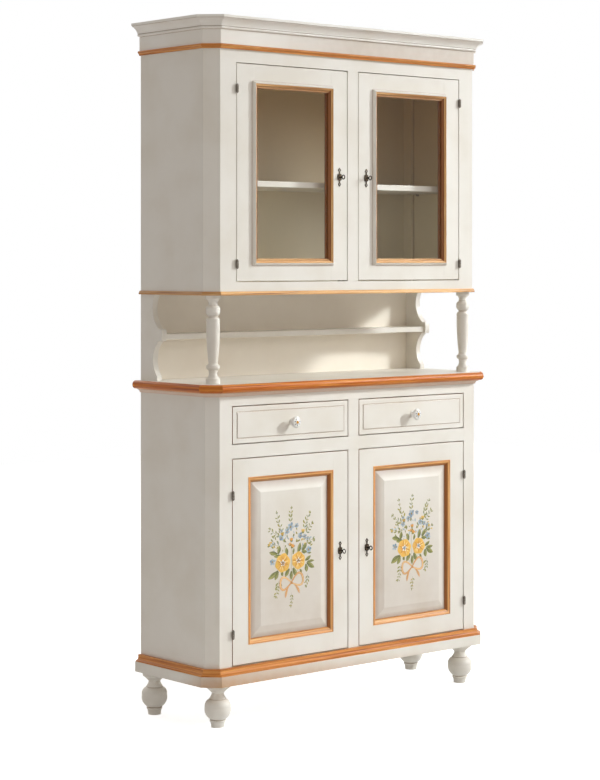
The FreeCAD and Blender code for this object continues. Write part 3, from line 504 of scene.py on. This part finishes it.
def edged_paint(name, brush, recess_share):
    material, wiring, shader = new_finish("ivory_" + name)
    patina = wiring.group(outline, front=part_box(name)[0].y, **middle_and_half(name))["Patina"]
    finish_paint(wiring, shader, patina=patina, brush=brush, glaze=edge_glaze_and_gap_shade, recess_share=recess_share)
    return material


for side in ("left", "right"):
    for door in ("hutch_door_{}_frame", "base_door_{}_frame"):
        dress(edged_paint(door.format(side), along_uprights, 0.7), door.format(side))
    front = "drawer_{}_front".format(side)
    dress(edged_paint(front, along_rails, 0.5), front)
print("edges glazed, lines", line_width, "m wide")

# %% [markdown]
# ## Painted light and shade inside the hutch
# Behind the panes the boards get a paint that is lighter low down and turns deeper and browner towards
# the top: painted light and painted shade. The back of the niche gets a lighter paint too, as painted
# light. The same boards are ivory outside, so the finish needs to know where the inside begins. The
# frame's boards are not split there, and a mask of the space between them does it without touching a
# face.

# %% Hutch lining
lining_lit_low = colour(249, 240, 217)
lining_shaded_high = colour(214, 187, 138)
room_half = 0.5445
room_front = -0.128
room_back = 0.178
room_floor = 1.29
ceiling_margin = 0.004
room_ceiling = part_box("hutch_boards")[1].z - ceiling_margin
inside_shade_start = 1.45
inside_shade_end = 1.93
# The back of the niche gets a lighter paint than the ivory, as painted light.
niche_lit_paint = colour(248, 239, 224)
niche_lit_tone = colour(243, 233, 217)


def hutch_room_group():
    tree, wiring, takes, gives = node_group("hutch_room", [
        ("Outside", "Color", ivory), ("Low", "Color", lining_lit_low), ("High", "Color", lining_shaded_high),
    ], [("Color", "Color")])
    axes = wiring.axes()
    between = wiring.math("LESS_THAN", wiring.math("ABSOLUTE", axes["X"]), room_half)
    behind = wiring.math("GREATER_THAN", axes["Y"], room_front)
    before = wiring.math("LESS_THAN", axes["Y"], room_back)
    above = wiring.math("GREATER_THAN", axes["Z"], room_floor)
    below = wiring.math("LESS_THAN", axes["Z"], room_ceiling)
    inside = wiring.times(between, behind, before, above, below)
    # Painted light low inside the hutch, turning to painted shade towards the top.
    lit_and_shaded_inside = wiring.mix(wiring.fade(axes["Z"], inside_shade_start, inside_shade_end), takes["Low"], takes["High"])
    wiring.feed(gives["Color"], wiring.mix(inside, takes["Outside"], lit_and_shaded_inside))
    return tree


hutch_room = hutch_room_group()


def inside_lit_paint(name, paint, shade):
    material, wiring, shader = new_finish(name)
    paint = wiring.group(hutch_room, outside=paint)["Color"]
    shade = wiring.group(hutch_room, outside=shade)["Color"]
    finish_paint(wiring, shader, paint=paint, shade=shade)
    return material


dress(inside_lit_paint("ivory_inside_lit_and_shaded", ivory, ivory_shade),
      "hutch_sides", "hutch_posts", "hutch_boards", "hutch_face_frame")
dress(inside_lit_paint("niche_lit_and_shaded", niche_lit_paint, niche_lit_tone), "hutch_back")
print("lined the hutch from", room_floor, "to", round(room_ceiling, 3), "m")

# %% [markdown]
# ## Honey-stained wood
# The mouldings are stained softwood. Its grain runs along each length and turns at every mitre. One
# grain for the whole ring would run across half of the lengths, so the pattern needs to know which
# length a point lies on. Round the carcass that is the side whose plane the point stands out of
# furthest, and round a door it is the nearer pair of edges. The same masks paint shade: they darken the
# inner edges of the lengths and the side lengths of the hutch moulding beside the front. The pale stain
# of the hutch moulding and the window slips is lighter than the honey one, as painted highlight.

# %% Grain that turns at the mitres
corner_shift = 3.0
upright_shift = 5.0
hand_shift = 2.0
ring_stretch = (3.0, 210.0, 210.0)
fibre_stretch = (16.0, 900.0, 900.0)
stain_scale = 5.0
thread_share = 0.4
soak_share = 0.25
# Painted shade on the inner edges of the mouldings; the lower and upper rails take part of it.
inner_shade_share = 0.9
low_rail_share = 0.25
high_rail_gain = 0.35


def carcass_run_group():
    tree, wiring, takes, gives = node_group("carcass_run", [
        ("Half Width", "Float", 0.5), ("Front", "Float", 0.0), ("Chamfer", "Float", 0.03),
        ("Aside", "Float", 0.0),
    ], [("Grain", "Vector"), ("Inner", "Float")])
    axes = wiring.axes()
    side_reach = wiring.math("ABSOLUTE", axes["X"])
    past_side = wiring.math("SUBTRACT", side_reach, takes["Half Width"])
    past_front = wiring.math("SUBTRACT", takes["Front"], axes["Y"])
    both = wiring.chain("ADD", past_side, past_front, takes["Chamfer"])
    past_corner = wiring.times(both, math.sqrt(0.5))
    furthest = wiring.chain("MAXIMUM", past_side, past_front, past_corner)
    on_side = wiring.math("GREATER_THAN", past_side, wiring.math("MAXIMUM", past_front, past_corner))
    on_front = wiring.math("GREATER_THAN", past_front, wiring.math("MAXIMUM", past_side, past_corner))
    slant = wiring.math("ADD", side_reach, axes["Y"])
    along = wiring.choose(on_side, wiring.choose(on_front, slant, axes["X"]), axes["Y"])
    off_front = wiring.math("SUBTRACT", 1.0, on_front)
    hand = wiring.times(wiring.math("SIGN", axes["X"]), off_front)
    shifted = wiring.math("MULTIPLY_ADD", hand, corner_shift, along)
    wiring.feed(gives["Grain"], wiring.point(shifted, furthest, axes["Z"]))
    # Painted shade: the side lengths of the hutch moulding by Aside, and every moulding within a few
    # millimetres of its carcass by Inner.
    aside = wiring.times(off_front, takes["Aside"])
    wiring.feed(gives["Inner"], wiring.math("MAXIMUM", wiring.fade(furthest, 0.003, -0.002), aside))
    return tree


def door_run_group():
    tree, wiring, takes, gives = node_group("door_run", outline_inputs + [
        ("Reveal", "Float", 0.01),
    ], [("Grain", "Vector"), ("Inner", "Float")])
    axes = wiring.axes()
    from_middle, from_level, past_side, past_end = past_outline(wiring, axes, takes)
    upright = wiring.math("GREATER_THAN", past_side, past_end)
    along = wiring.choose(upright, from_middle, from_level)
    hand = wiring.choose(upright, wiring.math("SIGN", from_level), wiring.math("SIGN", from_middle))
    own_shift = wiring.times(hand, hand_shift)
    shift = wiring.math("MULTIPLY_ADD", upright, upright_shift, own_shift)
    across = wiring.math("MAXIMUM", past_side, past_end)
    wiring.feed(gives["Grain"], wiring.point(wiring.math("ADD", along, shift), across, axes["Y"]))
    # Painted shade: the inner edge of each length darkens past its reveal, fully on the uprights and more
    # on the top rail than on the bottom one.
    deep = wiring.fade(wiring.math("ADD", across, takes["Reveal"]), 0.0008, -0.0012)
    high = wiring.math("GREATER_THAN", from_level, 0.0)
    rail = wiring.math("MULTIPLY_ADD", high, high_rail_gain, low_rail_share)
    wiring.feed(gives["Inner"], wiring.times(deep, wiring.math("MAXIMUM", upright, rail)))
    return tree


def wood_grain_group():
    tree, wiring, takes, gives = node_group("wood_grain", [
        ("Grain", "Vector", (0.0, 0.0, 0.0)), ("Light", "Color", colour(236, 172, 96)),
        ("Middle", "Color", colour(210, 130, 54)), ("Dark", "Color", colour(152, 80, 26)),
        ("Deep", "Float", 0.0),
    ], [("Color", "Color"), ("Roughness", "Float"), ("Height", "Float")])
    rings = wiring.noise(wiring.vector("MULTIPLY", takes["Grain"], ring_stretch), 1.0, 4.0, 0.7)
    fibre = wiring.noise(wiring.vector("MULTIPLY", takes["Grain"], fibre_stretch), 1.0, 2.0)
    stain = wiring.noise(takes["Grain"], stain_scale, 2.0)
    pale = wiring.mix(wiring.fade(rings, 0.35, 0.55), takes["Light"], takes["Middle"])
    banded = wiring.mix(wiring.fade(rings, 0.54, 0.72), pale, takes["Dark"])
    threads = wiring.times(wiring.fade(fibre, 0.45, 0.75), thread_share)
    fibred = wiring.mix(threads, banded, takes["Dark"])
    soaked = wiring.times(wiring.fade(stain, 0.35, 0.75), soak_share)
    toned = wiring.mix(soaked, fibred, takes["Middle"])
    # Painted shade towards the dark tone where Deep is set.
    deep = wiring.times(takes["Deep"], inner_shade_share)
    wiring.feed(gives["Color"], wiring.mix(deep, toned, takes["Dark"]))
    wiring.feed(gives["Roughness"], wiring.math("MULTIPLY_ADD", fibre, 0.2, 0.26))
    wiring.feed(gives["Height"], wiring.math("ADD", fibre, rings))
    return tree


carcass_run = carcass_run_group()
door_run = door_run_group()
wood_grain = wood_grain_group()


def tones(light, middle, dark):
    return {"light": colour(*light), "middle": colour(*middle), "dark": colour(*dark)}


# The pale stain is lighter than the honey stain, as painted highlight on the hutch moulding and the
# window slips.
stains = {
    "pale": tones(light=(250, 212, 156), middle=(234, 180, 116), dark=(134, 76, 40)),
    "honey": tones(light=(250, 202, 134), middle=(228, 159, 88), dark=(152, 88, 44)),
    "tan": tones(light=(232, 166, 92), middle=(204, 128, 60), dark=(152, 84, 36)),
    "amber": tones(light=(228, 146, 60), middle=(194, 102, 26), dark=(138, 62, 12)),
    "bare": tones(light=(228, 206, 170), middle=(214, 186, 146), dark=(190, 154, 112)),
}
stain_gloss = 0.22
grain_strength = 0.15
grain_height = 0.0004
base_chamfer = 0.031
hutch_chamfer = 0.036
hutch_side_shade = 0.4


def stained(name, stain, run, **values):
    """A stained finish whose grain follows one kind of run."""
    material, wiring, shader = new_finish(name)
    places = wiring.group(run, **values)
    wood = wiring.group(wood_grain, grain=places["Grain"], deep=places["Inner"], **stains[stain])
    wiring.feed(shader.inputs["Specular IOR Level"], stain_gloss)
    wiring.coat(shader, wood["Color"], wood["Roughness"])
    wiring.relief(shader, grain_strength, grain_height, height=wood["Height"])
    return material


def carcass_plan(posts, chamfer):
    """Half the width, the front plane and the cut corner of a carcass, from its posts."""
    low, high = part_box(posts)
    return {"half_width": high.x, "front": low.y, "chamfer": chamfer}


base_plan = carcass_plan("base_posts", base_chamfer)
hutch_plan = carcass_plan("hutch_posts", hutch_chamfer)
# Painted shade on the side lengths of the hutch moulding.
shaded_plan = dict(hutch_plan, aside=hutch_side_shade)
for name, stain, plan in (
    ("plinth_moulding", "tan", base_plan), ("counter_edge", "amber", base_plan),
    ("hutch_moulding", "pale", shaded_plan), ("frieze_bead", "tan", hutch_plan),
):
    dress(stained("stained_" + name, stain, carcass_run, **plan), name)
door_lengths = (("hutch_door_{}_glazing", "pale", 0.005), ("base_door_{}_moulding", "honey", 0.009))
for lengths, stain, reveal in door_lengths:
    for side in ("left", "right"):
        name = lengths.format(side)
        dress(stained("stained_" + name, stain, door_run, reveal=reveal, **middle_and_half(name)), name)
print("stained", len(nodes_in("honey_wood")), "nodes")

# %% [markdown]
# ## Bare wood
# Drawer boxes, runners and the back are left unfinished, as on most furniture.

# %% Unfinished boards
bare_stretch = (0.4, 0.28, 0.28)
bare_dullness = 0.25


def bare_wood(name, lies_flat):
    """Plain boards. Upright grain, or for boards that lie flat grain from front to back, and from side
    to side in the boards that stand across."""
    material, wiring, shader = new_finish(name)
    axes = wiring.axes()
    grain = wiring.point(axes["Z"], axes["X"], axes["Y"])
    if lies_flat:
        normal = wiring.put("SeparateXYZ", {0: wiring.put("NewGeometry").outputs["True Normal"]}).outputs
        across = wiring.math("GREATER_THAN", wiring.math("ABSOLUTE", normal["Y"]), 0.7)
        choice = wiring.put("Mix", {0: across}, data_type="VECTOR")
        wiring.feed(choice.inputs[4], wiring.point(axes["Y"], axes["X"], axes["Z"]))
        wiring.feed(choice.inputs[5], wiring.point(axes["X"], axes["Z"], axes["Y"]))
        grain = choice.outputs[1]
    grain = wiring.vector("MULTIPLY", grain, bare_stretch)
    wood = wiring.group(wood_grain, grain=grain, **stains["bare"])
    wiring.coat(shader, wood["Color"], wiring.math("ADD", wood["Roughness"], bare_dullness))
    return material


dress(bare_wood("bare_wood_lying", lies_flat=True),
      "drawer_runners", "drawer_left_box", "drawer_right_box")
dress(bare_wood("bare_wood_upright", lies_flat=False), "base_back")
print("bare wood:", nodes_in("bare_wood"))

# %% [markdown]
# ## Glass
# The panes are clear. A ray tracer lets light through a pane only by chance, which leaves the hutch
# dark and noisy, so shadow rays and diffuse rays pass as if the pane were not there.

# %% Panes
pane_tint = (0.99, 0.995, 0.985, 1.0)
pane_bending = 1.2


def clear_glass():
    material, wiring, shader = new_finish("clear_glass")
    wiring.coat(shader, pane_tint, 0.0)
    wiring.feed(shader.inputs["IOR"], pane_bending)
    wiring.feed(shader.inputs["Transmission Weight"], 1.0)
    rays = wiring.put("LightPath").outputs
    unseen = wiring.math("MAXIMUM", rays["Is Shadow Ray"], rays["Is Diffuse Ray"])
    clear = wiring.put("BsdfTransparent").outputs[0]
    mixed = wiring.put("MixShader", {0: unseen, 1: shader.outputs[0], 2: clear}).outputs[0]
    wiring.feed(material.node_tree.nodes["Material Output"].inputs["Surface"], mixed)
    return material


dress(clear_glass(), "hutch_door_left_glass", "hutch_door_right_glass")
print("glazed two doors")

# %% [markdown]
# ## Ironwork
# Keyhole plates, bolts and lock cases are browned iron, and the keys are darker. The hinges are turned
# from plain steel and lighter. All are worn in small spots, where the brown is rubbed off. One finish
# with two colours serves for them, so each kind needs only its own pair.

# %% Metal
spot_scale = 300.0
metal_share = 0.85


def worn_metal(name, dark, bright):
    material, wiring, shader = new_finish(name)
    worn = wiring.fade(wiring.noise(wiring.place(), spot_scale, 3.0), 0.5, 0.7)
    wiring.feed(shader.inputs["Metallic"], metal_share)
    wiring.coat(shader, wiring.mix(worn, colour(*dark), colour(*bright)),
                wiring.math("MULTIPLY_ADD", worn, -0.12, 0.5))
    return material


hinges = [name for name in nodes_in("antique_metal") if "hinge" in name]
keys = [name for name in nodes_in("antique_metal") if name.endswith("_key")]
locks = [name for name in nodes_in("antique_metal") if name not in hinges + keys + ["shelf_pins"]]
dress(worn_metal("browned_iron", dark=(58, 48, 38), bright=(118, 100, 76)), *locks)
dress(worn_metal("dark_iron", dark=(38, 31, 24), bright=(80, 66, 50)), *keys)
dress(worn_metal("hinge_steel", dark=(110, 102, 92), bright=(156, 148, 136)), *hinges)
dress(worn_metal("pin_steel", dark=(176, 168, 156), bright=(206, 200, 190)), "shelf_pins")
print("iron:", len(locks), "nodes, keys:", len(keys), "nodes, hinges:", len(hinges), "nodes")

# %% [markdown]
# ## Porcelain knobs
# Each knob is white porcelain with a small flower fired on its dome: a yellow heart and grey-blue
# petals. The flower could be modelled, but it lies under the glaze, so it is a mask by angle and radius
# round the knob's own axis. Both knobs share it, because the distance from the middle of the dresser is
# the same.

# %% Porcelain
petal_count = 7
heart_radius = 0.0048
petal_start = 0.0058
petal_end = 0.0116
petal_strength = 0.85
dome_depth = 0.008


def porcelain():
    low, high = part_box("drawer_right_knob")
    middle = (low + high) / 2
    material, wiring, shader = new_finish("porcelain")
    axes = wiring.axes()
    across = wiring.math("SUBTRACT", wiring.math("ABSOLUTE", axes["X"]), middle.x)
    up = wiring.math("SUBTRACT", axes["Z"], middle.z)
    squares = wiring.math("ADD", wiring.math("POWER", across, 2.0), wiring.math("POWER", up, 2.0))
    radius = wiring.math("SQRT", squares)
    wave = wiring.math("SINE", wiring.times(wiring.math("ARCTAN2", up, across), petal_count))
    on_dome = wiring.math("LESS_THAN", axes["Y"], low.y + dome_depth)
    inner = wiring.fade(radius, petal_start - 0.0008, petal_start + 0.0006)
    outer = wiring.fade(radius, petal_end, petal_end - 0.0014)
    lobes = wiring.fade(wave, 0.25, 0.7)
    petals = wiring.times(lobes, inner, outer, on_dome, petal_strength)
    centre = wiring.fade(radius, heart_radius + 0.0005, heart_radius - 0.0005)
    heart = wiring.times(centre, on_dome)
    cloud = wiring.fade(wiring.noise(wiring.place(), 90.0, 3.0), 0.3, 0.7)
    clay = wiring.mix(cloud, colour(243, 241, 236), colour(237, 235, 229))
    petal_colour = wiring.mix(cloud, colour(72, 84, 96), colour(108, 120, 128))
    heart_colour = wiring.mix(cloud, colour(218, 160, 44), colour(200, 138, 36))
    flowered = wiring.mix(heart, wiring.mix(petals, clay, petal_colour), heart_colour)
    wiring.coat(shader, flowered, wiring.math("MULTIPLY_ADD", cloud, 0.06, 0.1))
    return material


dress(porcelain(), "drawer_left_knob", "drawer_right_knob")
print("knobs glazed, petals", petal_count)

# %% [markdown]
# ## The posies
# Each lower door carries a tied posy, painted by hand in the folk manner: every leaf and petal is one
# dab of the brush. A flat mask could give the colours, but paint laid on in dabs has edges that catch
# the light, so each dab is a thin pad. A grid is bent along the line of the stroke, made full at its
# belly and extruded to the panel, and its colour fades from the root to the tip as on a loaded brush.

# %% A dab of the brush
millimetre = 0.001
coat_first = 0.12
coat_step = 0.0012
bedding = 0.05
look_ahead = 0.02
end_share = 0.16
tint_range = 0.07


class Posy:
    """A painted posy in the making. Places are in millimetres from the middle of the panel."""

    def __init__(self, panel, seed):
        low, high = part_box(panel)
        self.middle = (low + high) / 2
        self.face = low.y
        self.shape = bmesh.new()
        self.paint = self.shape.verts.layers.float_color.new("paint")
        self.chance = random.Random(seed)
        self.dabs = 0

    def vary(self, amount):
        return self.chance.uniform(-amount, amount)

    def sweep(self, path, breadth, root, tip, steps=7):
        """Lays a strip of paint along a path, breadth wide, from one colour to another."""
        strip = bmesh.ops.create_grid(self.shape, x_segments=steps, y_segments=2, size=0.5)["verts"]
        faces = {face for vert in strip for face in vert.link_faces}
        tint = 1 + self.vary(tint_range)
        for vert in strip:
            share = vert.co.x + 0.5
            side = vert.co.y * 2
            here = path(share)
            ahead = path(min(share + look_ahead, 1.0)) - path(max(share - look_ahead, 0.0))
            normal = Vector((-ahead.y, ahead.x)).normalized()
            spot = here + normal * side * breadth(share) / 2
            vert.co = (self.middle.x + spot.x * millimetre, self.face + bedding * millimetre,
                       self.middle.z + spot.y * millimetre)
            vert[self.paint] = [a * tint + (b - a) * tint * share for a, b in zip(root, tip)]
        raised = bmesh.ops.extrude_face_region(self.shape, geom=list(faces), use_keep_orig=True)["geom"]
        coat = coat_first + coat_step * self.dabs
        for vert in raised:
            if isinstance(vert, bmesh.types.BMVert):
                vert.co.y -= (coat + bedding) * millimetre
        self.dabs += 1

    def dab(self, root, tip, width, first, last, bow=0.0, belly=0.55):
        """One dab from root to tip, widest at its belly and bent sideways by bow."""
        root, tip = Vector(root), Vector(tip)
        line = tip - root
        aside = Vector((-line.y, line.x)) * bow
        power = math.log(0.5) / math.log(belly)

        def path(share):
            return root + line * share + aside * 4 * share * (1 - share)

        def breadth(share):
            return width * (end_share + (1 - end_share) * math.sin(math.pi * share ** power))

        self.sweep(path, breadth, first, last)

    def finished(self, name, body, material):
        bmesh.ops.recalc_face_normals(self.shape, faces=self.shape.faces)
        mesh = bpy.data.meshes.new(name)
        self.shape.to_mesh(mesh)
        self.shape.free()
        mesh.materials.append(material)
        piece = bpy.data.objects.new(name, mesh)
        bpy.context.scene.collection.objects.link(piece)
        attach(piece, body)
        return piece


print("brush ready")

# %% [markdown]
# ### Leaves, sprays and flowers
# A painter repeats a few motifs: a leaf of two dabs with a vein, a spray with leaves along its stem, a
# round flower with streaked petals and a small flower of five. Each is a function of its place, and a
# little chance makes every repeat different, as the hand does.

# %% Motifs
olive_dark = colour(96, 100, 46)
olive = colour(130, 132, 62)
olive_pale = colour(164, 158, 90)
moss = colour(178, 158, 70)
blue = colour(174, 190, 198)
blue_deep = colour(128, 150, 166)
blue_grey = colour(190, 197, 200)
teal = colour(116, 140, 136)
yellow = colour(240, 192, 84)
yellow_deep = colour(222, 156, 50)
yellow_pale = colour(248, 224, 160)
ochre = colour(186, 126, 48)
cream = colour(244, 238, 226)
bark = colour(146, 104, 58)
orange = colour(228, 158, 66)
peach = colour(226, 174, 112)
peach_deep = colour(204, 142, 78)


def point_at(middle, angle, reach):
    return Vector(middle) + Vector((math.cos(angle), math.sin(angle))) * reach


def leaf(posy, root, tip, width):
    """A broad leaf: a dark dab, a lighter half and a vein."""
    root, tip = Vector(root), Vector(tip)
    half = Vector((-(tip - root).y, (tip - root).x)).normalized() * width * 0.2
    posy.dab(root, tip, width, olive_dark, olive, bow=posy.vary(0.08))
    posy.dab(root + half, tip + half * 0.3, width * 0.55, olive, olive_pale, bow=0.05)
    posy.dab(root, root.lerp(tip, 0.85), 1.2, olive_dark, olive_dark)


def stem(posy, root, tip, bow=0.0):
    posy.dab(root, tip, 0.9, olive, olive_pale, bow=bow)


spray_leaves = (olive, olive, olive_dark, moss, teal)
dry_leaves = (moss, yellow_deep, olive)


def spray(posy, root, tip, pairs, paints=spray_leaves, length=12.5, bow=0.05):
    """A stem with small leaves in pairs, which shorten towards the tip."""
    root, tip = Vector(root), Vector(tip)
    line = tip - root
    heading = math.atan2(line.y, line.x)
    stem(posy, root, tip, bow)
    for pair in range(pairs):
        share = (pair + 0.6) / pairs
        spot = root + line * share + Vector((-line.y, line.x)) * bow * 4 * share * (1 - share)
        for side in (-1, 1):
            size = length * (1.1 - 0.5 * share) * (1 + posy.vary(0.3))
            angle = heading + side * (0.7 + posy.vary(0.4))
            start = point_at(spot, angle, 1.0 + posy.vary(1.0))
            paint = posy.chance.choice(paints)
            posy.dab(start, point_at(start, angle, size), size * 0.4, paint, olive_pale, bow=0.1 * side)
    posy.dab(tip - line.normalized() * 4, tip + line.normalized() * 5, 3.0, olive, olive_pale)


def round_flower(posy, middle, radius, heart):
    """A yellow flower seen from the front, with streaked petals round a pale eye."""
    petals = 6
    start = posy.vary(0.5)
    for petal in range(petals):
        angle = start + petal * math.tau / petals
        tip = point_at(middle, angle, radius * (0.97 + posy.vary(0.05)))
        root = point_at(middle, angle, radius * 0.12)
        posy.dab(root, tip, radius * 0.98, yellow_deep, yellow, belly=0.64)
    for petal in range(petals):
        angle = start + petal * math.tau / petals
        for spread in (-0.3, 0.0, 0.3):
            inner = point_at(middle, angle + spread * 0.8, radius * 0.34)
            outer = point_at(middle, angle + spread, radius * (0.84 + posy.vary(0.08)))
            paint = posy.chance.choice((yellow_deep, yellow_pale, orange))
            posy.dab(inner, outer, radius * 0.15, paint, yellow, bow=posy.vary(0.06))
        between = angle + math.pi / petals
        fold = point_at(middle, between, radius * (0.8 + posy.vary(0.06)))
        posy.dab(point_at(middle, between, radius * 0.3), fold, radius * 0.09, ochre, yellow_deep)
    for dab in range(5):
        angle = start + dab * math.tau / 5
        posy.dab(middle, point_at(middle, angle, radius * 0.36), radius * 0.22, cream, cream)
    for dab in range(7):
        angle = dab * math.tau / 7 + posy.vary(0.3)
        tip = point_at(middle, angle, radius * (0.3 + posy.vary(0.07)))
        posy.dab(middle, tip, radius * 0.1, heart, bark)
    eye = [point_at(middle, angle, radius * 0.12) for angle in (2.4, -0.7)]
    posy.dab(*eye, radius * 0.2, heart, heart)


def blue_flower(posy, middle, radius, heart=moss):
    """A small flower of five blue petals."""
    start = posy.vary(1.0)
    for petal in range(5):
        angle = start + petal * math.tau / 5
        paint = posy.chance.choice((blue, blue, blue_deep, blue_grey))
        tip = point_at(middle, angle, radius * (1 + posy.vary(0.15)))
        posy.dab(middle, tip, radius * 0.72, blue_deep, paint, belly=0.65)
    eye = [point_at(middle, angle, radius * 0.3) for angle in (1.6, -1.6)]
    posy.dab(*eye, radius * 0.45, heart, bark)


def filling(posy, count):
    """Loose dabs of leaf and petal between the sprays, which all point away from the tie."""
    for dab in range(count):
        angle = math.radians(posy.chance.uniform(34, 146))
        spot = point_at((0, -30), angle, posy.chance.uniform(50, 112))
        size = posy.chance.uniform(6, 12)
        first, last = posy.chance.choice((
            (olive_dark, olive), (olive, olive_pale), (olive, moss), (olive_dark, olive_pale),
            (teal, blue), (blue_deep, blue_grey), (blue, blue_grey), (moss, yellow),
        ))
        aim = angle + posy.vary(0.9)
        posy.dab(spot, point_at(spot, aim, size), size * 0.45, first, last, bow=posy.vary(0.12))


def bud(posy, root, angle, size, first, last):
    """A closed bud: three upright dabs out of a green cup."""
    for spread in (-0.42, 0.42, 0.0):
        posy.dab(root, point_at(root, angle + spread, size), size * 0.4, first, last, belly=0.6)
    for spread in (-0.7, 0.7):
        posy.dab(root, point_at(root, angle + spread, size * 0.5), size * 0.24, olive_dark, olive)


print("motifs ready")

# %% [markdown]
# ### The ribbon
# The posy is tied with a peach ribbon. One loop of a bow is one lobe of a figure of eight, so a sine
# along it and a double sine across it draw the lobe, and the strip of paint follows that.

# %% Ribbon
ribbon_width = 7.0


def loop(posy, knot, angle, length, breadth):
    ahead = Vector((math.cos(angle), math.sin(angle)))
    aside = Vector((-ahead.y, ahead.x))

    def path(share):
        turn = math.pi * share
        return Vector(knot) + ahead * length * math.sin(turn) + aside * breadth * math.sin(2 * turn)

    def band(share):
        return ribbon_width * (0.55 + 0.45 * math.sin(math.pi * share))

    def gleam(share):
        return ribbon_width * 0.3 * math.sin(math.pi * share) + 0.4

    posy.sweep(path, band, peach_deep, peach, steps=28)
    posy.sweep(path, gleam, peach, yellow_pale, steps=28)


def tied_bow(posy, knot):
    for tail_tip, bend in (((-22, -125), -0.12), ((33, -116), 0.12)):
        posy.dab(knot, tail_tip, ribbon_width * 1.2, peach_deep, peach, bow=bend, belly=0.75)
    loop(posy, knot, math.radians(181), 44, 19)
    loop(posy, knot, math.radians(15), 47, 19)
    posy.dab(Vector(knot) + Vector((-4, 3)), Vector(knot) + Vector((5, -4)), 7.0, peach_deep, peach_deep)


print("ribbon", ribbon_width, "mm wide")

# %% [markdown]
# ### Putting the posy together
# The painter works from the back to the front: stems and sprays first, then leaves, small flowers and
# buds, the two large flowers, and the bow last. Places are whole millimetres from the middle of the
# panel.

# %% Paint both posies
knot = (1, -81)
stem_tips = [(0, 60), (-30, 50), (44, 56), (-50, 0), (56, 0)]
large_leaves = [
    ((-54, 12), (-86, 17), 13), ((-50, 9), (-46, 34), 13), ((-40, 6), (-68, 4), 10),
    ((-14, 4), (-20, 26), 12), ((28, 6), (36, 36), 12), ((44, 12), (61, 34), 12),
    ((42, 8), (62, 8), 11), ((60, 6), (80, 2), 8), ((8, 4), (12, 22), 8),
    ((-52, -40), (-90, -62), 15), ((-52, -42), (-64, -67), 14), ((-36, -44), (-34, -58), 9),
    ((-8, -38), (-23, -61), 13), ((7, -38), (22, -61), 13), ((0, -46), (1, -72), 12),
    ((58, -30), (61, -54), 14), ((62, -26), (92, -43), 13), ((64, -24), (92, -22), 8),
    ((34, -44), (42, -54), 8), ((56, -20), (78, -6), 8),
]
sprays = [
    ((0, 96), (2, 146), 4), ((-34, 70), (-57, 136), 5), ((52, 74), (76, 126), 5),
    ((-40, 60), (-86, 88), 4), ((58, 62), (86, 92), 4), ((-40, 36), (-88, 42), 3),
    ((58, 30), (90, 44), 3), ((-50, -70), (-62, -119), 5), ((66, -60), (58, -97), 4),
]
dry_spray = ((2, -112), (-1, -152), 4)
loose_dabs = 74
blue_flowers = [
    ((-2, 88), 13), ((-16, 74), 9), ((-39, 58), 10), ((22, 90), 8), ((36, 58), 10),
    ((54, 54), 8), ((70, 13), 12), ((-74, -12), 11), ((66, 47), 6), ((-38, 78), 6),
]
buds = [
    ((-34, 62), 1.7, 13, yellow_deep, moss), ((47, 64), 1.5, 14, moss, yellow),
    ((2, 22), 1.1, 15, orange, yellow_deep), ((1, 42), 1.6, 13, orange, yellow_deep),
    ((-2, 30), 2.1, 11, orange, peach), ((-86, 34), 1.8, 9, moss, yellow),
    ((-72, 38), 1.5, 9, blue_grey, blue), ((20, 40), 0.9, 9, moss, olive_pale),
    ((-24, 44), 2.2, 10, olive, olive_pale), ((74, 28), 1.2, 8, moss, olive),
]
flowers = [((-33, -19), 30), ((29, -17), 28)]
streak_stretch = (900.0, 900.0, 300.0)


def posy_paint():
    material, wiring, shader = new_finish("posy_paint")
    laid = wiring.put("Attribute", attribute_name="paint").outputs["Color"]
    streak = wiring.noise(wiring.vector("MULTIPLY", wiring.place(), streak_stretch), 1.0, 2.0)
    thin = wiring.times(wiring.fade(streak, 0.5, 0.8), 0.3)
    wiring.coat(shader, wiring.mix(thin, laid, ivory), wiring.math("MULTIPLY_ADD", streak, 0.2, 0.34))
    return material


def painted_posy(side, seed, material):
    posy = Posy("base_door_{}_panel".format(side), seed)
    for tip in stem_tips:
        stem(posy, knot, tip, bow=posy.vary(0.03))
    for root, tip, pairs in sprays:
        spray(posy, root, tip, pairs)
    spray(posy, *dry_spray, paints=dry_leaves, length=10)
    filling(posy, loose_dabs)
    for root, tip, width in large_leaves:
        leaf(posy, root, tip, width)
    for middle, radius in blue_flowers:
        blue_flower(posy, middle, radius)
    for root, angle, size, first, last in buds:
        bud(posy, root, angle, size, first, last)
    for middle, radius in flowers:
        round_flower(posy, middle, radius, posy.chance.choice((bark, blue_deep)))
    tied_bow(posy, knot)
    piece = posy.finished("posy_" + side, "base_door_" + side, material)
    print(piece.name, posy.dabs, "dabs", len(piece.data.polygons), "faces")


posy_material = posy_paint()
for side, seed in (("left", 11), ("right", 23)):
    painted_posy(side, seed, posy_material)
